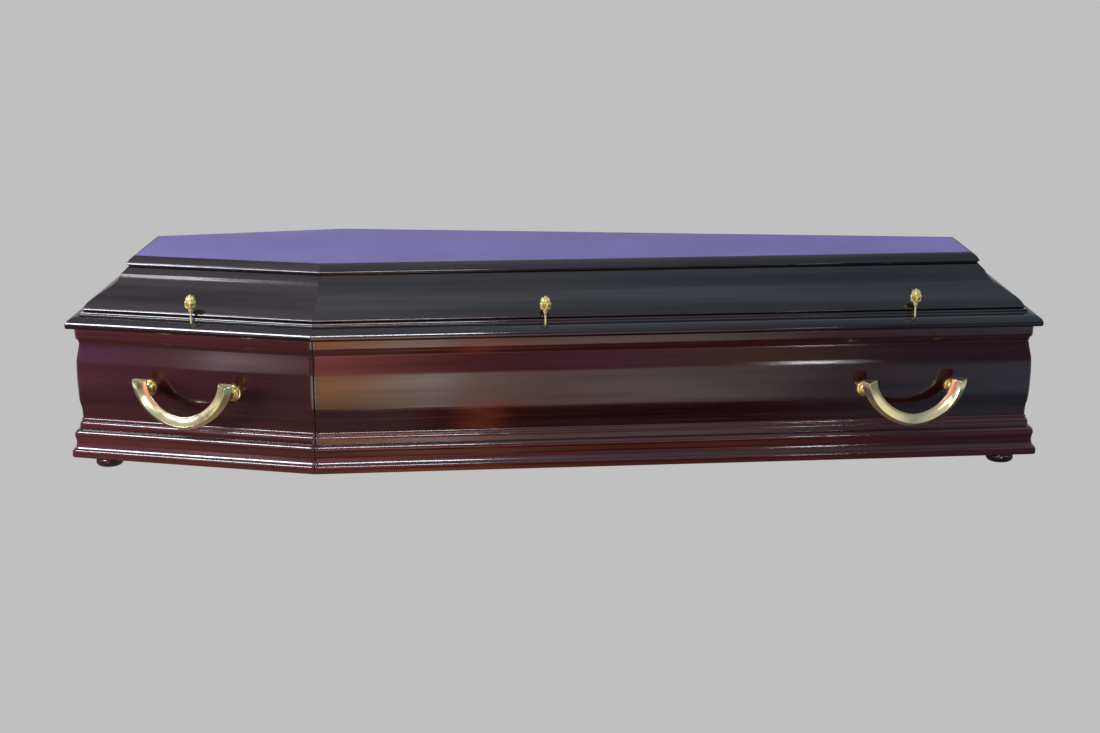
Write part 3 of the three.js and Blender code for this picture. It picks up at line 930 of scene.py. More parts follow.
@dataclass
class Carcass:
    """The box: plinth, side boards and base board. Heights and insets are in millimetres."""

    finishes: Finishes
    plan: Plan = PLAN
    bottom: float = 20.0
    rebate: float = 24.0
    plinth_start: float = 4.5
    plinth_top: float = 100.5
    base_top: float = 38.0
    board_foot: float = 38.3
    board_lip: float = 100.8
    board_start: float = 22.0
    board_inner: float = 44.0
    mitre_ease: float = 3.0
    board_top: float = 287.2
    rim_foot: float = 255.0
    base_roll: float = 1.0
    board_pattern: float = 11.0
    base_pattern: float = 40.0
    pattern_by_side: float = 2.3
    plinth: tuple[Member, ...] = (
        Member(-4.5, 4.5, 1),
        Member(0, 5.5),
        Member(3, 7, 0.9),
        Member(0.8, 0.5),
        Member(4.7, 13.5, -0.5),
        Member(-2.2, 12, -0.5),
        Member(-0.3, 3.5),
        Member(7, 10, 1),
        Member(2.5, 0.8),
        Member(0.3, 6.5),
        Member(3.2, 9, 1),
        Member(0.6, 0.4),
        Member(2, 7.3, 1),
    )
    board: tuple[Member, ...] = (
        Member(-0.35, 8),
        Member(-1.65, 17, -0.4),
        Member(-4.4, 45, 0.6),
        Member(-0.3, 20),
        Member(0.3, 17),
        Member(0.25, 8),
        Member(1.35, 12, 0.25),
        Member(4.8, 25),
        Member(0.5, 3.5),
        Member(-1, 2),
        Member(-2.5, 7, -0.5),
        Member(-3, 8, 0.8),
        Member(-0.7, 13.9),
    )

    def plinth_outline(self) -> Outline:
        """Section of the plinth moulding."""
        face = follow(self.plinth, (self.plinth_start, self.bottom))
        corners = np.concatenate([[[self.rebate, self.bottom]], face, [[self.rebate, self.plinth_top]]])
        return soften(corners, True).stained(0.0, 1.0, 1.0)

    def board_outline(self) -> Outline:
        """Section of a side board, rebated behind the plinth."""
        face = follow(self.board, (self.board_start, self.board_lip))
        gap = JOINT_GAP / MM
        foot = [
            [self.board_inner, self.board_foot],
            [self.rebate + gap, self.board_foot],
            [self.rebate + gap, self.board_lip],
        ]
        corners = np.concatenate([foot, face, [[self.board_inner, self.board_top]]])
        return soften(corners, True).stained(self.rim_foot * MM, 0.25, 1.0)

    def build(self) -> None:
        """Adds the twelve boards and mouldings of the box and its base board."""
        wood = self.finishes.lacquer
        parts = (
            ("plinth", self.plinth_outline(), 0.0),
            ("side_board", self.board_outline(), self.board_pattern),
        )
        for k, side in enumerate(self.plan.sides()):
            for part, outline, start in parts:
                name = f"{part}_{side.name}"
                tube = mitred_tube(outline, side, start + self.pattern_by_side * k, self.mitre_ease * MM)
                add_piece(f"{name}_lacquered", name, [tube], wood)
        inset = (self.rebate + JOINT_GAP / MM) * MM
        heights = (self.bottom * MM, self.base_top * MM)
        base = plate_tube(self.plan, inset, *heights, self.base_roll * MM, self.base_pattern)
        add_piece("base_board_lacquered", "base_board", [base], wood)


@dataclass
class Lid:
    """The lid: flange, slopes, frame and violet panel. Heights and insets are in millimetres."""

    finishes: Finishes
    plan: Plan = PLAN
    inner: float = 62.0
    flange_start: float = 16.0
    flange_bottom: float = 287.5
    flange_top: float = 321.2
    nosing_height: float = 11.2
    slope_start: float = 34.0
    slope_bottom: float = 321.5
    slope_top: float = 402.2
    slope_thickness: float = 28.0
    frame_start: float = 115.5
    frame_bottom: float = 402.5
    frame_inner: float = 150.3
    ledge: float = 411.2
    panel_inset: float = 128.3
    panel_bottom: float = 411.5
    panel_top: float = 422.9
    panel_roll: float = 0.8
    mitre_ease: float = 0.5
    pattern: float = 60.0
    pattern_by_part: float = 17.0
    pattern_by_side: float = 2.1
    flange: tuple[Member, ...] = (
        Member(-12, 2.2),
        Member(-4, 6, 1),
        Member(0, 1.5),
        Member(6, 9.5, 0.6),
        Member(14, 5.8, 0.4),
        Member(1, 0.3),
        Member(6, 3.4, -0.6),
        Member(3.5, 5, 1),
    )
    slope: tuple[Member, ...] = (
        Member(-2, 2.5),
        Member(0, 1.5),
        Member(20, 20.7, 0.3),
        Member(28, 18),
        Member(21, 22, -0.35),
        Member(1.5, 3),
        Member(13.0, 13),
    )
    top_frame: tuple[Member, ...] = (
        Member(0, 1.2),
        Member(-3.5, 2.2, -0.8),
        Member(0, 1.3),
        Member(16, 16, 0.4),
    )

    def outlines(self) -> dict[str, Outline]:
        """The sections of the lid's mouldings.

        Returns:
            Outlines by the name of the part.
        """
        flange = follow(self.flange, (self.flange_start, self.flange_bottom))
        flange_back = [[self.inner, self.flange_top]]
        flange = np.concatenate([[[self.inner, self.flange_bottom]], flange, flange_back])
        slope = follow(self.slope, (self.slope_start, self.slope_bottom))
        slope_back = [[slope[-1, 0] + self.slope_thickness, self.slope_top]]
        slope = np.concatenate([[[self.inner, self.slope_bottom]], slope, slope_back])
        frame_face = follow(self.top_frame, (self.frame_start, self.frame_bottom))
        ledge = [[frame_face[-1, 0], self.ledge], [self.frame_inner, self.ledge]]
        top = np.concatenate([[[self.frame_inner, self.frame_bottom]], frame_face, ledge])
        return {
            "lid_flange": soften(flange, True),
            "lid_slope": soften(slope, True),
            "lid_frame": soften(top, True, step=4.0),
        }

    def build(self) -> None:
        """Adds the eighteen mouldings of the lid and its panel."""
        for part, (key, outline) in enumerate(self.outlines().items()):
            for k, side in enumerate(self.plan.sides()):
                name = f"{key}_{side.name}"
                start = self.pattern + self.pattern_by_part * part + self.pattern_by_side * k
                tube = mitred_tube(outline, side, start, self.mitre_ease * MM)
                # The lid's mouldings take the darker copy of the box's lacquer, whose colours are painted
                # shade.
                add_piece(f"{name}_lacquered", name, [tube], self.finishes.lid)
        heights = (self.panel_bottom * MM, self.panel_top * MM)
        panel = plate_tube(self.plan, self.panel_inset * MM, *heights, self.panel_roll * MM, 0.0)
        add_piece("lid_panel_cloth", "lid_panel", [panel], self.finishes.cloth)


# Turned and cast fittings


def turned_tube(outline: Outline, segments: int) -> Tube:
    """A turned solid: each point of the outline, a radius and a height, carried round a circle."""
    angles = np.linspace(0.0, 2 * math.pi, segments, endpoint=False)
    radius, height = outline.points[:, :1], outline.points[:, 1:]
    level = np.broadcast_to(height, (len(radius), segments))
    rings = np.stack([radius * np.cos(angles), radius * np.sin(angles), level], axis=-1)
    around = np.linspace(0.0, 2 * math.pi * float(radius.max()), segments + 1)
    tone = np.broadcast_to(outline.tone[:, None], rings.shape[:2])
    return Tube(rings, outline.along, around, tone, np.zeros(segments))


def placed(tube: Tube, offset: Array, matrix: Array = np.eye(3)) -> Tube:
    """A tube turned by a matrix, if one is given, and then moved."""
    return Tube(tube.rings @ matrix.T + offset, tube.up, tube.around, tube.tone, tube.stain)


@dataclass
class BunFeet:
    """Four turned feet under the corners, in millimetres."""

    finishes: Finishes
    plan: Plan = PLAN
    height: float = 19.7
    radius: float = 27.5
    tread_radius: float = 14.0
    neck_radius: float = 23.0
    belly_height: float = 9.5
    from_end: float = 65.0
    inset: float = 32.0
    flat_edge: float = 2.0
    segments: int = 72

    def outline(self) -> Outline:
        """Radius and height from the tread to the neck, two quarter ellipses that meet at the belly."""
        angle = np.linspace(math.pi / 2, 0.0, 24)
        low_r = self.tread_radius + (self.radius - self.tread_radius) * np.cos(angle)
        low_z = self.belly_height * (1 - np.sin(angle))
        rise = angle[::-1]
        high_r = self.neck_radius + (self.radius - self.neck_radius) * np.cos(rise)
        high_z = self.belly_height + (self.height - self.belly_height) * np.sin(rise)
        body = np.column_stack([np.concatenate([low_r, high_r[1:]]), np.concatenate([low_z, high_z[1:]])])
        edge = np.array([[self.tread_radius - self.flat_edge, 0.0]])
        top = np.array([[self.neck_radius - self.flat_edge, self.height]])
        return soften(np.concatenate([edge, body, top]), False, 0.3, 2.0, 7.0)

    def build(self) -> None:
        """Adds the four feet."""
        tube = turned_tube(self.outline(), self.segments)
        for hand in Hand:
            for end in (End.HEAD, End.FOOT):
                x = self.plan.x_from(end, self.from_end)
                at = self.plan.side_at(hand, x).station(x, self.inset * MM)
                name = f"bun_foot_{hand.value}_{end.value}"
                moved = placed(tube, np.array([*at, 0.0]))
                add_piece(f"{name}_lacquered", name, [moved], self.finishes.foot)


@dataclass
class BowHandles:
    """Four cast bow handles, each on two turned bosses, in millimetres.

    In a handle's own frame X runs along the board, -Y out of it, and Z = 0 lies at the bosses.
    """

    finishes: Finishes
    plan: Plan = PLAN
    from_head: float = 256.0
    from_foot: float = 269.0
    head_height: float = 174.5
    foot_height: float = 166.5
    seat_inset: float = 15.0
    inner_half_width: float = 76.5
    inner_drop: float = 65.0
    sharpness: float = 1.09
    ridge_from_inside: float = 17.0
    outer_width: float = 14.5
    outer_narrowing: float = 0.45
    scoop: float = 2.0
    standoff: float = 37.0
    ridge_rise: float = 15.5
    inner_rise: float = 6.0
    outer_rise: float = 5.5
    back_chamfer: float = 2.5
    lean: float = 0.08
    end_slope: float = 0.4
    boss_below_end: float = 21.0
    boss_half_spacing: float = 90.5
    boss_radius: float = 17.5
    ring_radius: float = 15.0
    groove_radius: float = 12.5
    stem_radius: float = 9.5
    bow_steps: int = 90
    segments: int = 64

    def section(self) -> Outline:
        """Section of the bow: width outwards and depth from the board."""
        ridge = self.standoff + self.ridge_rise
        scoop = self.standoff + (self.inner_rise + self.ridge_rise) / 2 - 2 * self.scoop
        width = self.ridge_from_inside + self.outer_width
        t = np.linspace(0.0, 1.0, 25)[:, None]
        start = np.array([0.0, self.standoff + self.inner_rise])
        control = np.array([self.ridge_from_inside / 2, scoop])
        end = np.array([self.ridge_from_inside, ridge])
        face = (1 - t) ** 2 * start + 2 * t * (1 - t) * control + t**2 * end
        back = [[self.back_chamfer, self.standoff], [0.0, self.standoff + self.back_chamfer]]
        outside = [[width, self.standoff + self.outer_rise], [width - self.back_chamfer, self.standoff]]
        return soften(np.concatenate([back, face, outside]), True, 0.45, 2.2, 9.0)

    def carried(self, section: Array, share: float) -> Array:
        """The section's points at a share of the way round the bow.

        With a turn from pi to 0, a point lies across the board by its reach times cos(turn)^sharpness and
        hangs by its reach times sin(turn)^sharpness. It leans out as it hangs, and the two ends slope.

        Args:
            section: widths and depths in millimetres.
            share: from 0 at one end to 1 at the other.

        Returns:
            The points in the handle's frame, in millimetres.
        """
        out, depth = section[:, 0], section[:, 1]
        turn = math.pi * (1 - share)
        across = math.copysign(abs(math.cos(turn)) ** self.sharpness, math.cos(turn))
        down = abs(math.sin(turn)) ** self.sharpness
        outside = np.maximum(0.0, out - self.ridge_from_inside)
        reach = out - outside * self.outer_narrowing * down
        drop = (self.inner_drop + reach) * down
        lift = self.end_slope * (self.standoff + self.ridge_rise - depth) * (1 - down)
        x = -(self.inner_half_width + reach) * across
        return np.column_stack([x, -depth - self.lean * drop, self.boss_below_end + lift - drop])

    def bow(self) -> Tube:
        """The bow as a capped tube, its ends eased."""
        outline = self.section()
        section = outline.points / MM
        shares = [0.0, 0.0, 0.0012, *np.linspace(0.004, 0.996, self.bow_steps), 0.9988, 1.0, 1.0]
        depths = [0.7, 0.35, 0.1, *[0.0] * self.bow_steps, 0.1, 0.35, 0.7]
        rings = np.array([self.carried(shrunk(section, d), s) for s, d in zip(shares, depths)]) * MM
        up = np.array(shares) * math.pi * self.inner_drop * MM
        return Tube(rings, up, outline.along, outline.tone, outline.stain)

    def boss(self) -> Tube:
        """One boss: plate, groove, lipped disc, bead and stem, turned about the axis out of the board."""
        radius, groove, ring, stem = self.boss_radius, self.groove_radius, self.ring_radius, self.stem_radius
        corners = [
            [radius - 1.5, 0.0],
            [radius, 0.0],
            [radius, 2.6],
            [radius - 0.9, 4.0],
            [groove + 1.5, 4.4],
            [groove, 5.4],
            [groove, 6.2],
            [ring - 0.4, 6.7],
            [ring, 7.3],
            [ring, 9.9],
            [ring - 0.5, 10.4],
            [ring - 1.7, 10.4],
            [ring - 2.3, 9.2],
            [stem + 2.1, 9.2],
            [stem + 1.6, 10.5],
            [stem + 0.6, 10.7],
            [stem, 11.6],
            [stem, 40.0],
            [stem - 1.5, 40.0],
        ]
        tube = turned_tube(soften(np.array(corners), False, 0.35, 2.5, 9.0), self.segments)
        outwards = np.array([[1.0, 0.0, 0.0], [0.0, 0.0, -1.0], [0.0, 1.0, 0.0]])
        return placed(tube, np.zeros(3), outwards)

    def build(self) -> None:
        """Adds the four handles."""
        bow, boss = self.bow(), self.boss()
        spacing = np.array([self.boss_half_spacing * MM, 0.0, 0.0])
        parts = [bow, placed(boss, -spacing), placed(boss, spacing)]
        stations = {
            End.HEAD: (self.from_head, self.head_height),
            End.FOOT: (self.from_foot, self.foot_height),
        }
        for hand in Hand:
            for end, (distance, height) in stations.items():
                x = self.plan.x_from(end, distance)
                side = self.plan.side_at(hand, x)
                cos, sin = side.direction
                matrix = np.array([[cos, -sin, 0.0], [sin, cos, 0.0], [0.0, 0.0, 1.0]])
                at = np.array([*side.station(x, self.seat_inset * MM), height * MM])
                tubes = [placed(part, at, matrix) for part in parts]
                name = f"handle_{hand.value}_{end.value}"
                add_piece(f"{name}_cast", name, tubes, self.finishes.brass)


@dataclass
class RosebudScrews:
    """Six lid screws, each a shank, a fluted cup and a bud of two tiers of petals, in millimetres.

    Grooves and valleys have their width in radians. The edges of dishes, lips and holes have their place
    and softness as shares of the dish's or the hole's own size.
    """

    finishes: Finishes
    plan: Plan = PLAN
    from_end: float = 260.0
    middle_from_head: float = 973.0
    inset: float = 21.0
    bottom: float = 275.2
    stem_radius: float = 2.0
    stem_length: float = 19.0
    stem_ease: float = 0.5
    cup_length: float = 10.0
    cup_rise: float = 9.7
    cup_radius: float = 5.0
    cup_flare: float = 0.65
    cup_swell: float = 0.3
    flute_depth: float = 0.09
    petals: int = 6
    around: int = 156
    dish_height: float = 7.8
    dish_size: Band = (5.3, 5.8)
    dish_depth: float = 2.0
    dish_edge: Band = (0.96, 0.06)
    shallow_share: float = 0.25
    lip_height: float = 0.35
    lip_edge: Band = (1.12, 0.13)
    hole_radius: float = 2.0
    hole_depth: float = 2.4
    hole_edge: Band = (0.85, 0.12)
    groove_width: float = 0.07
    groove_depth: float = 0.9
    valley_width: float = 0.09
    valley_depth: float = 1.6
    ledge: float = 14.6
    ledge_softness: float = 0.5
    ledge_dip: float = 1.5
    ledge_dip_width: float = 2.3
    crown_radius: float = 6.4
    crown_width: float = 1.2
    crown_base: float = 18.0
    tip_height: float = 3.0
    bud: tuple[tuple[float, float], ...] = (
        (4.2, 0.7),
        (5.2, -0.1),
        (7.4, 0.0),
        (9.6, 1.3),
        (11.2, 4.2),
        (11.75, 7.8),
        (11.6, 11.2),
        (11.0, 14.0),
        (10.3, 15.2),
        (9.3, 15.9),
        (9.7, 17.2),
        (9.3, 19.4),
        (8.2, 21.8),
        (6.4, 23.8),
        (5.1, 23.6),
        (4.0, 24.1),
        (2.7, 25.7),
        (1.3, 27.3),
        (0.3, 27.8),
    )

    def from_petal(self, angle: Array, share: float) -> Array:
        """Angle from the middle of the nearest petal, for petals turned by a share of their pitch."""
        pitch = 2 * math.pi / self.petals
        return (angle + pitch * (0.5 - share)) % pitch - pitch / 2

    def bud_surface(self, angle: Array) -> tuple[Array, Array, Array]:
        """The bud: its outline carried round, changed petal by petal.

        Between the lower petals runs a bell-shaped groove, and their upper edge dips there. Each lower
        petal has a lip round an oval dish, depth / (1 + exp((oval distance - 0.96) / 0.06)), deep in every
        other petal and shallow with a small hole in the rest. The upper petals stand half a petal further
        round, grooved too, and their tips rise like tents.

        Args:
            angle: angles round the axis, as one row.

        Returns:
            Radius and height in millimetres from the cup's rim, and hollowness, as rows by angles.
        """
        outline = soften(np.array(self.bud), False, 0.35, 0.40, 7.0)
        plain, level = outline.points[:, :1] / MM, outline.points[:, 1:] / MM
        half = math.pi / self.petals
        across, above = self.from_petal(angle, 0.0), self.from_petal(angle, 0.5)
        groove = np.exp(-(((half - np.abs(across)) / self.groove_width) ** 2))
        lower = 1 / (1 + np.exp((level - self.ledge) / self.ledge_softness))
        crown = np.exp(-(((plain - self.crown_radius) / self.crown_width) ** 2)) * (level > self.crown_base)
        tent = 1 - np.abs(above) / half
        oval = np.hypot(across * plain / self.dish_size[0], (level - self.dish_height) / self.dish_size[1])
        deep = np.floor(angle * self.petals / (2 * math.pi) + 0.5) % 2
        depth = self.shallow_share + (1 - self.shallow_share) * deep
        dish = lower * depth / (1 + np.exp((oval - self.dish_edge[0]) / self.dish_edge[1]))
        lip = lower * np.exp(-(((oval - self.lip_edge[0]) / self.lip_edge[1]) ** 2))
        from_hole = np.hypot(across * plain, level - self.dish_height) / self.hole_radius
        hole = (1 - deep) / (1 + np.exp((from_hole - self.hole_edge[0]) / self.hole_edge[1]))
        valley = np.exp(-(((half - np.abs(above)) / self.valley_width) ** 2))
        valley = valley * (1 - lower) * np.clip(plain / 8, 0, 1) ** 2
        radius = plain - self.groove_depth * groove * lower * np.clip(plain / 9, 0, 1)
        radius = radius - self.dish_depth * dish + self.lip_height * lip
        radius = radius - self.hole_depth * hole - self.valley_depth * valley
        near_ledge = np.exp(-(((level - self.ledge) / self.ledge_dip_width) ** 2))
        dip = self.ledge_dip * (np.abs(across) / half) ** 2 * near_ledge
        height = level - dip + self.tip_height * crown * (tent - 0.5)
        # The hole's large negative hollowness paints it near-black in the brass: painted shade. The dishes,
        # grooves and valleys only turn deeper in colour.
        hollow = -0.19 * dish - 1.5 * hole - 0.10 * groove * lower - 0.10 * valley + 0.1 * lip
        return radius, height, hollow

    def surface(self, entry: float, turned: float) -> Tube:
        """The whole screw as rings about its axis, from the foot of the shank to the tip.

        Args:
            entry: height of the flange's surface at the screw.
            turned: how far the petals are turned from facing the side, in degrees.

        Returns:
            The capped tube, with the flange's surface at height 0.
        """
        angle = np.linspace(0.0, 2 * math.pi, self.around, endpoint=False)[None, :]
        radius, height, hollow = self.bud_surface(angle)
        foot = self.bottom - entry
        stem = [(self.stem_radius - self.stem_ease, foot, 0.0), (self.stem_radius, foot + 0.6, 0.0)]
        stem += [(self.stem_radius, z, 0.0) for z in np.linspace(0.0, self.stem_length - 1.2, 6)]
        for share in np.linspace(0.0, 1.0, 9):
            flare = self.stem_radius + (self.cup_radius - self.stem_radius) * share**self.cup_flare
            radius_there = flare + self.cup_swell * math.sin(math.pi * share)
            stem.append((radius_there, self.stem_length + self.cup_rise * share, share))
        flute = self.flute_depth * np.abs(np.sin(self.petals / 2 * angle[0]))
        shank = np.array([[r * (1 - flute * f), 0 * angle[0] + z] for r, z, f in stem])
        radius = np.concatenate([shank[:, 0], radius])
        height = np.concatenate([shank[:, 1], height + self.stem_length + self.cup_length])
        hollow = np.concatenate([np.zeros((len(stem), self.around)), hollow])
        at = angle + math.radians(turned)
        rings = np.stack([radius * np.cos(at), radius * np.sin(at), height], axis=-1) * MM
        up = np.linspace(0.0, 1.0, len(rings)) * float(height.max()) * MM
        around = np.linspace(0.0, 2 * math.pi * float(radius.max()) * MM, self.around + 1)
        return Tube(rings, up, around, hollow, np.zeros(self.around))

    def build(self, lid: Lid) -> None:
        """Adds the six screws.

        Args:
            lid: the lid whose flange they stand on.
        """
        face = follow(lid.flange, (lid.flange_start, lid.flange_bottom))
        upper = face[face[:, 1] > lid.flange_bottom + lid.nosing_height]
        entry = float(np.interp(self.inset, upper[:, 0], upper[:, 1]))
        stations = {
            End.HEAD: (self.from_end, 0.0),
            End.MIDDLE: (self.middle_from_head, 15.0),
            End.FOOT: (self.from_end, -4.0),
        }
        for hand in Hand:
            facing = -90.0 if hand is Hand.RIGHT else 90.0
            for end, (distance, turned) in stations.items():
                tube = self.surface(entry, facing + 180.0 / self.petals + turned)
                x = self.plan.x_from(end, distance)
                at = self.plan.side_at(hand, x).station(x, self.inset * MM)
                name = f"lid_screw_{hand.value}_{end.value}"
                moved = placed(tube, np.array([*at, entry * MM]))
                add_piece(f"{name}_cast", name, [moved], self.finishes.satin)


# Studio


ROOM_FRONT = (
    (-44.0, (0.30, 0.17, 0.28)),
    (-40.0, (0.15, 0.08, 0.11)),
    (-33.0, (0.16, 0.10, 0.12)),
    (-27.0, (1.10, 1.10, 1.02)),
    (-20.0, (1.20, 1.20, 1.12)),
    (-18.0, (5.00, 4.90, 4.70)),
    (-13.0, (5.00, 4.90, 4.70)),
    (-11.0, (1.00, 1.00, 0.93)),
    (-2.0, (0.95, 0.85, 0.75)),
    (2.8, (1.70, 0.64, 0.14)),
    (5.0, (1.74, 0.90, 0.42)),
    (6.2, (1.50, 1.50, 1.42)),
    (7.0, (1.65, 1.80, 1.85)),
    (8.2, (0.95, 0.48, 0.34)),
    (10.0, (0.62, 0.46, 0.42)),
    (13.0, (0.68, 0.62, 0.60)),
    (17.0, (0.54, 0.53, 0.52)),
    (20.0, (0.09, 0.10, 0.13)),
    (25.0, (0.16, 0.27, 0.36)),
)
ROOM_HORIZON = (
    (-44.0, (0.55, 0.26, 0.66)),
    (-41.0, (0.42, 0.18, 0.46)),
    (-39.6, (0.12, 0.05, 0.08)),
    (-38.2, (0.25, 0.12, 0.15)),
    (-37.2, (1.80, 1.50, 1.70)),
    (-36.0, (1.25, 0.85, 0.95)),
    (-34.5, (0.30, 0.10, 0.12)),
    (-33.0, (0.10, 0.05, 0.06)),
    (3.5, (1.75, 0.52, 0.42)),
    (6.5, (0.55, 0.15, 0.15)),
    (9.0, (0.20, 0.06, 0.09)),
    (13.0, (0.38, 0.13, 0.25)),
    (17.5, (0.42, 0.25, 0.14)),
    (20.5, (0.06, 0.08, 0.12)),
    (25.0, (0.04, 0.06, 0.10)),
)
ROOM_CEILING = (
    (0.25, (0.60, 0.54, 0.65)),
    (0.50, (0.50, 0.52, 0.60)),
    (0.65, (0.25, 0.33, 0.41)),
    (0.72, (0.30, 0.36, 0.41)),
    (0.86, (0.95, 0.92, 0.88)),
    (1.00, (1.10, 1.05, 1.00)),
)


def studio_plate(name: str, corners: list[Place], made: bpy.types.Material) -> bpy.types.Object:
    """A flat plate of the studio, linked to the scene."""
    mesh = bpy.data.meshes.new(name)
    mesh.from_pydata(corners, [], [tuple(range(len(corners)))])
    mesh.materials.append(made)
    plate = bpy.data.objects.new(name, mesh)
    bpy.context.scene.collection.objects.link(plate)
    return plate


@dataclass(frozen=True)
class GlossPlate:
    """A glowing plate round the coffin, seen only in the gloss, painted with a reflection of the floor: reach
    beyond the plan, height and colours.

    reach holds the distances at the head, the shoulders and the foot. The colours run along X over the span.
    """

    name: str
    height: float
    reach: Place
    colours: Stops
    span: Band = (-1.4, 1.4)

    def build(self) -> None:
        """Adds the plate, which shows only in the gloss as a painted reflection."""
        reach = np.array([*self.reach, *self.reach[::-1]])[:, None]
        outline = PLAN.corners() - PLAN.mitres() * reach
        made, g = new_material(self.name)
        along = g.add("ShaderNodeSeparateXYZ", {0: g.place("Object")}).outputs[0]
        colour = g.spread(along, self.span, self.colours)
        g.surface("ShaderNodeEmission", {"Color": colour, "Strength": 1.0})
        mat = studio_plate(self.name, [(x, y, self.height) for x, y in outline.tolist()], made)
        mat.visible_camera = False
        mat.visible_diffuse = False
        mat.visible_shadow = False


# Two glowing plates whose colours are painted reflections of the floor round the coffin, seen only in the
# gloss.
GLOSS_PLATES = (
    GlossPlate(
        "studio_gloss_plate_wide",
        0.002,
        (0.36, 0.36, 0.25),
        (
            (-1.2, (0.12, 0.09, 0.10)),
            (-0.3, (0.16, 0.11, 0.12)),
            (-0.19, (0.04, 0.02, 0.02)),
            (-0.11, (0.62, 0.14, 0.05)),
            (-0.04, (0.02, 0.012, 0.012)),
            (0.5, (0.02, 0.015, 0.02)),
            (0.9, (0.05, 0.13, 0.17)),
        ),
    ),
    GlossPlate(
        "studio_gloss_plate_near",
        0.003,
        (0.09, 0.09, 0.09),
        (
            (-1.2, (0.20, 0.16, 0.15)),
            (-0.5, (0.28, 0.19, 0.13)),
            (-0.25, (0.70, 0.30, 0.19)),
            (0.1, (0.26, 0.12, 0.08)),
            (0.6, (0.12, 0.08, 0.07)),
            (0.9, (0.07, 0.06, 0.10)),
        ),
    ),
)


@dataclass(frozen=True)
class Room:
    """The room round the coffin, by direction, as soft light and as the lacquer mirrors it.

    Turns are degrees from straight in front, heights are the Z of the direction, and an edge is the band
    over which one colour passes into the next.
    """

    turns: Band = (-50.0, 40.0)
    dark: Colour = (0.03, 0.02, 0.02)
    below: Colour = (0.20, 0.18, 0.16)
    below_edge: Band = (-0.95, -0.80)
    front_turns: Band = (4.0, 12.0)
    front_heights: Band = (-0.43, -0.40)
    front_edge: Band = (-0.03, 0.03)
    patch: Colour = (1.60, 0.34, 0.08)
    patch_turn: float = 8.7
    patch_height: float = -0.375
    patch_scales: Band = (0.95, 10.0)
    patch_edge: Band = (0.55, 1.25)
    horizon_edge: Band = (-0.13, -0.05)
    front_middle: float = -6.0
    side_edge: Band = (42.0, 55.0)
    head_side: Colour = (1.00, 0.94, 0.86)
    foot_side: Colour = (0.66, 0.64, 0.66)
    head_to_foot: Band = (-0.4, 0.4)
    dim_height: float = -0.05
    dim_edge: Band = (0.12, 0.25)
    dim_share: float = 0.25
    ceiling_edge: Band = (0.12, 0.42)
    shade_edge: Band = (0.3, 0.95)
    shade_shares: Band = (0.92, 0.42)
    skylight: Colour = (7.0, 7.2, 7.6)
    skylight_turn: float = -46.4
    skylight_turn_edge: Band = (1.4, 2.6)
    skylight_height: float = 0.60
    skylight_height_edge: Band = (0.05, 0.07)

    def front(self, g: Graph, turn: Socket, z: Socket) -> Socket:
        """The room in front: dark below, then warm and grey patches, a red patch and a dim horizon.

        Args:
            g: the world's graph.
            turn: the turn from straight in front.
            z: the height.

        Returns:
            The colour.
        """
        edge = g.range(turn, self.front_turns, *self.front_heights)
        below = g.mix(g.range(z, self.below_edge), self.below, self.dark)
        patches = g.spread(turn, self.turns, ROOM_FRONT)
        low = g.mix(g.range(g.math("SUBTRACT", z, edge), self.front_edge), below, patches)
        across = g.math("MULTIPLY", g.math("SUBTRACT", turn, self.patch_turn), self.patch_scales[0])
        up = g.math("MULTIPLY", g.math("SUBTRACT", z, self.patch_height), self.patch_scales[1])
        square = g.math("ADD", g.math("POWER", across, 2.0), g.math("POWER", up, 2.0))
        low = g.mix(g.range(g.math("SQRT", square), self.patch_edge, 1.0, 0.0), low, self.patch)
        return g.mix(g.range(z, self.horizon_edge), low, g.spread(turn, self.turns, ROOM_HORIZON))

    def beside(self, g: Graph, x: Socket, z: Socket) -> Socket:
        """The plain room beside and behind the coffin, dim along the horizon too."""
        plain = g.mix(g.range(x, self.head_to_foot), self.head_side, self.foot_side)
        dim = g.range(g.off(z, self.dim_height), self.dim_edge, self.dim_share, 1.0)
        return g.mix(1.0, plain, dim, "MULTIPLY")

    def above(self, g: Graph, places: tuple[Socket, Socket, Socket], turn: Socket) -> Socket:
        """The ceiling: darker towards the foot, bright at its far end, a small skylight by the head side.

        Args:
            g: the world's graph.
            places: X, Y and Z of the direction.
            turn: the turn from straight in front.

        Returns:
            The colour.
        """
        x, y, z = places
        plain = g.ramp(g.math("MULTIPLY_ADD", x, 0.5, 0.5), ROOM_CEILING)
        shade = g.range(g.math("SUBTRACT", y, x), self.shade_edge, *self.shade_shares)
        beside = g.range(g.off(turn, self.skylight_turn), self.skylight_turn_edge, 1.0, 0.0)
        beyond = g.range(g.off(z, self.skylight_height), self.skylight_height_edge, 1.0, 0.0)
        skylight = g.math("MULTIPLY", beside, beyond)
        return g.mix(skylight, g.mix(1.0, plain, shade, "MULTIPLY"), self.skylight)

    def build(self) -> None:
        """Sets the room as the world round the scene."""
        world = bpy.data.worlds.new("studio")
        bpy.context.scene.world = world
        world.use_nodes = True
        g = Graph(world.node_tree)
        x, y, z = g.add("ShaderNodeSeparateXYZ", {0: g.place("Generated")}).outputs[:3]
        turn = g.math("DEGREES", g.math("ARCTAN2", x, g.math("MULTIPLY", y, -1.0)))
        sideways = g.range(g.off(turn, self.front_middle), self.side_edge)
        around = g.mix(sideways, self.front(g, turn, z), self.beside(g, x, z))
        colour = g.mix(g.range(z, self.ceiling_edge), around, self.above(g, (x, y, z), turn))
        g.surface("ShaderNodeBackground", {"Color": colour, "Strength": 1.0}, "ShaderNodeOutputWorld")


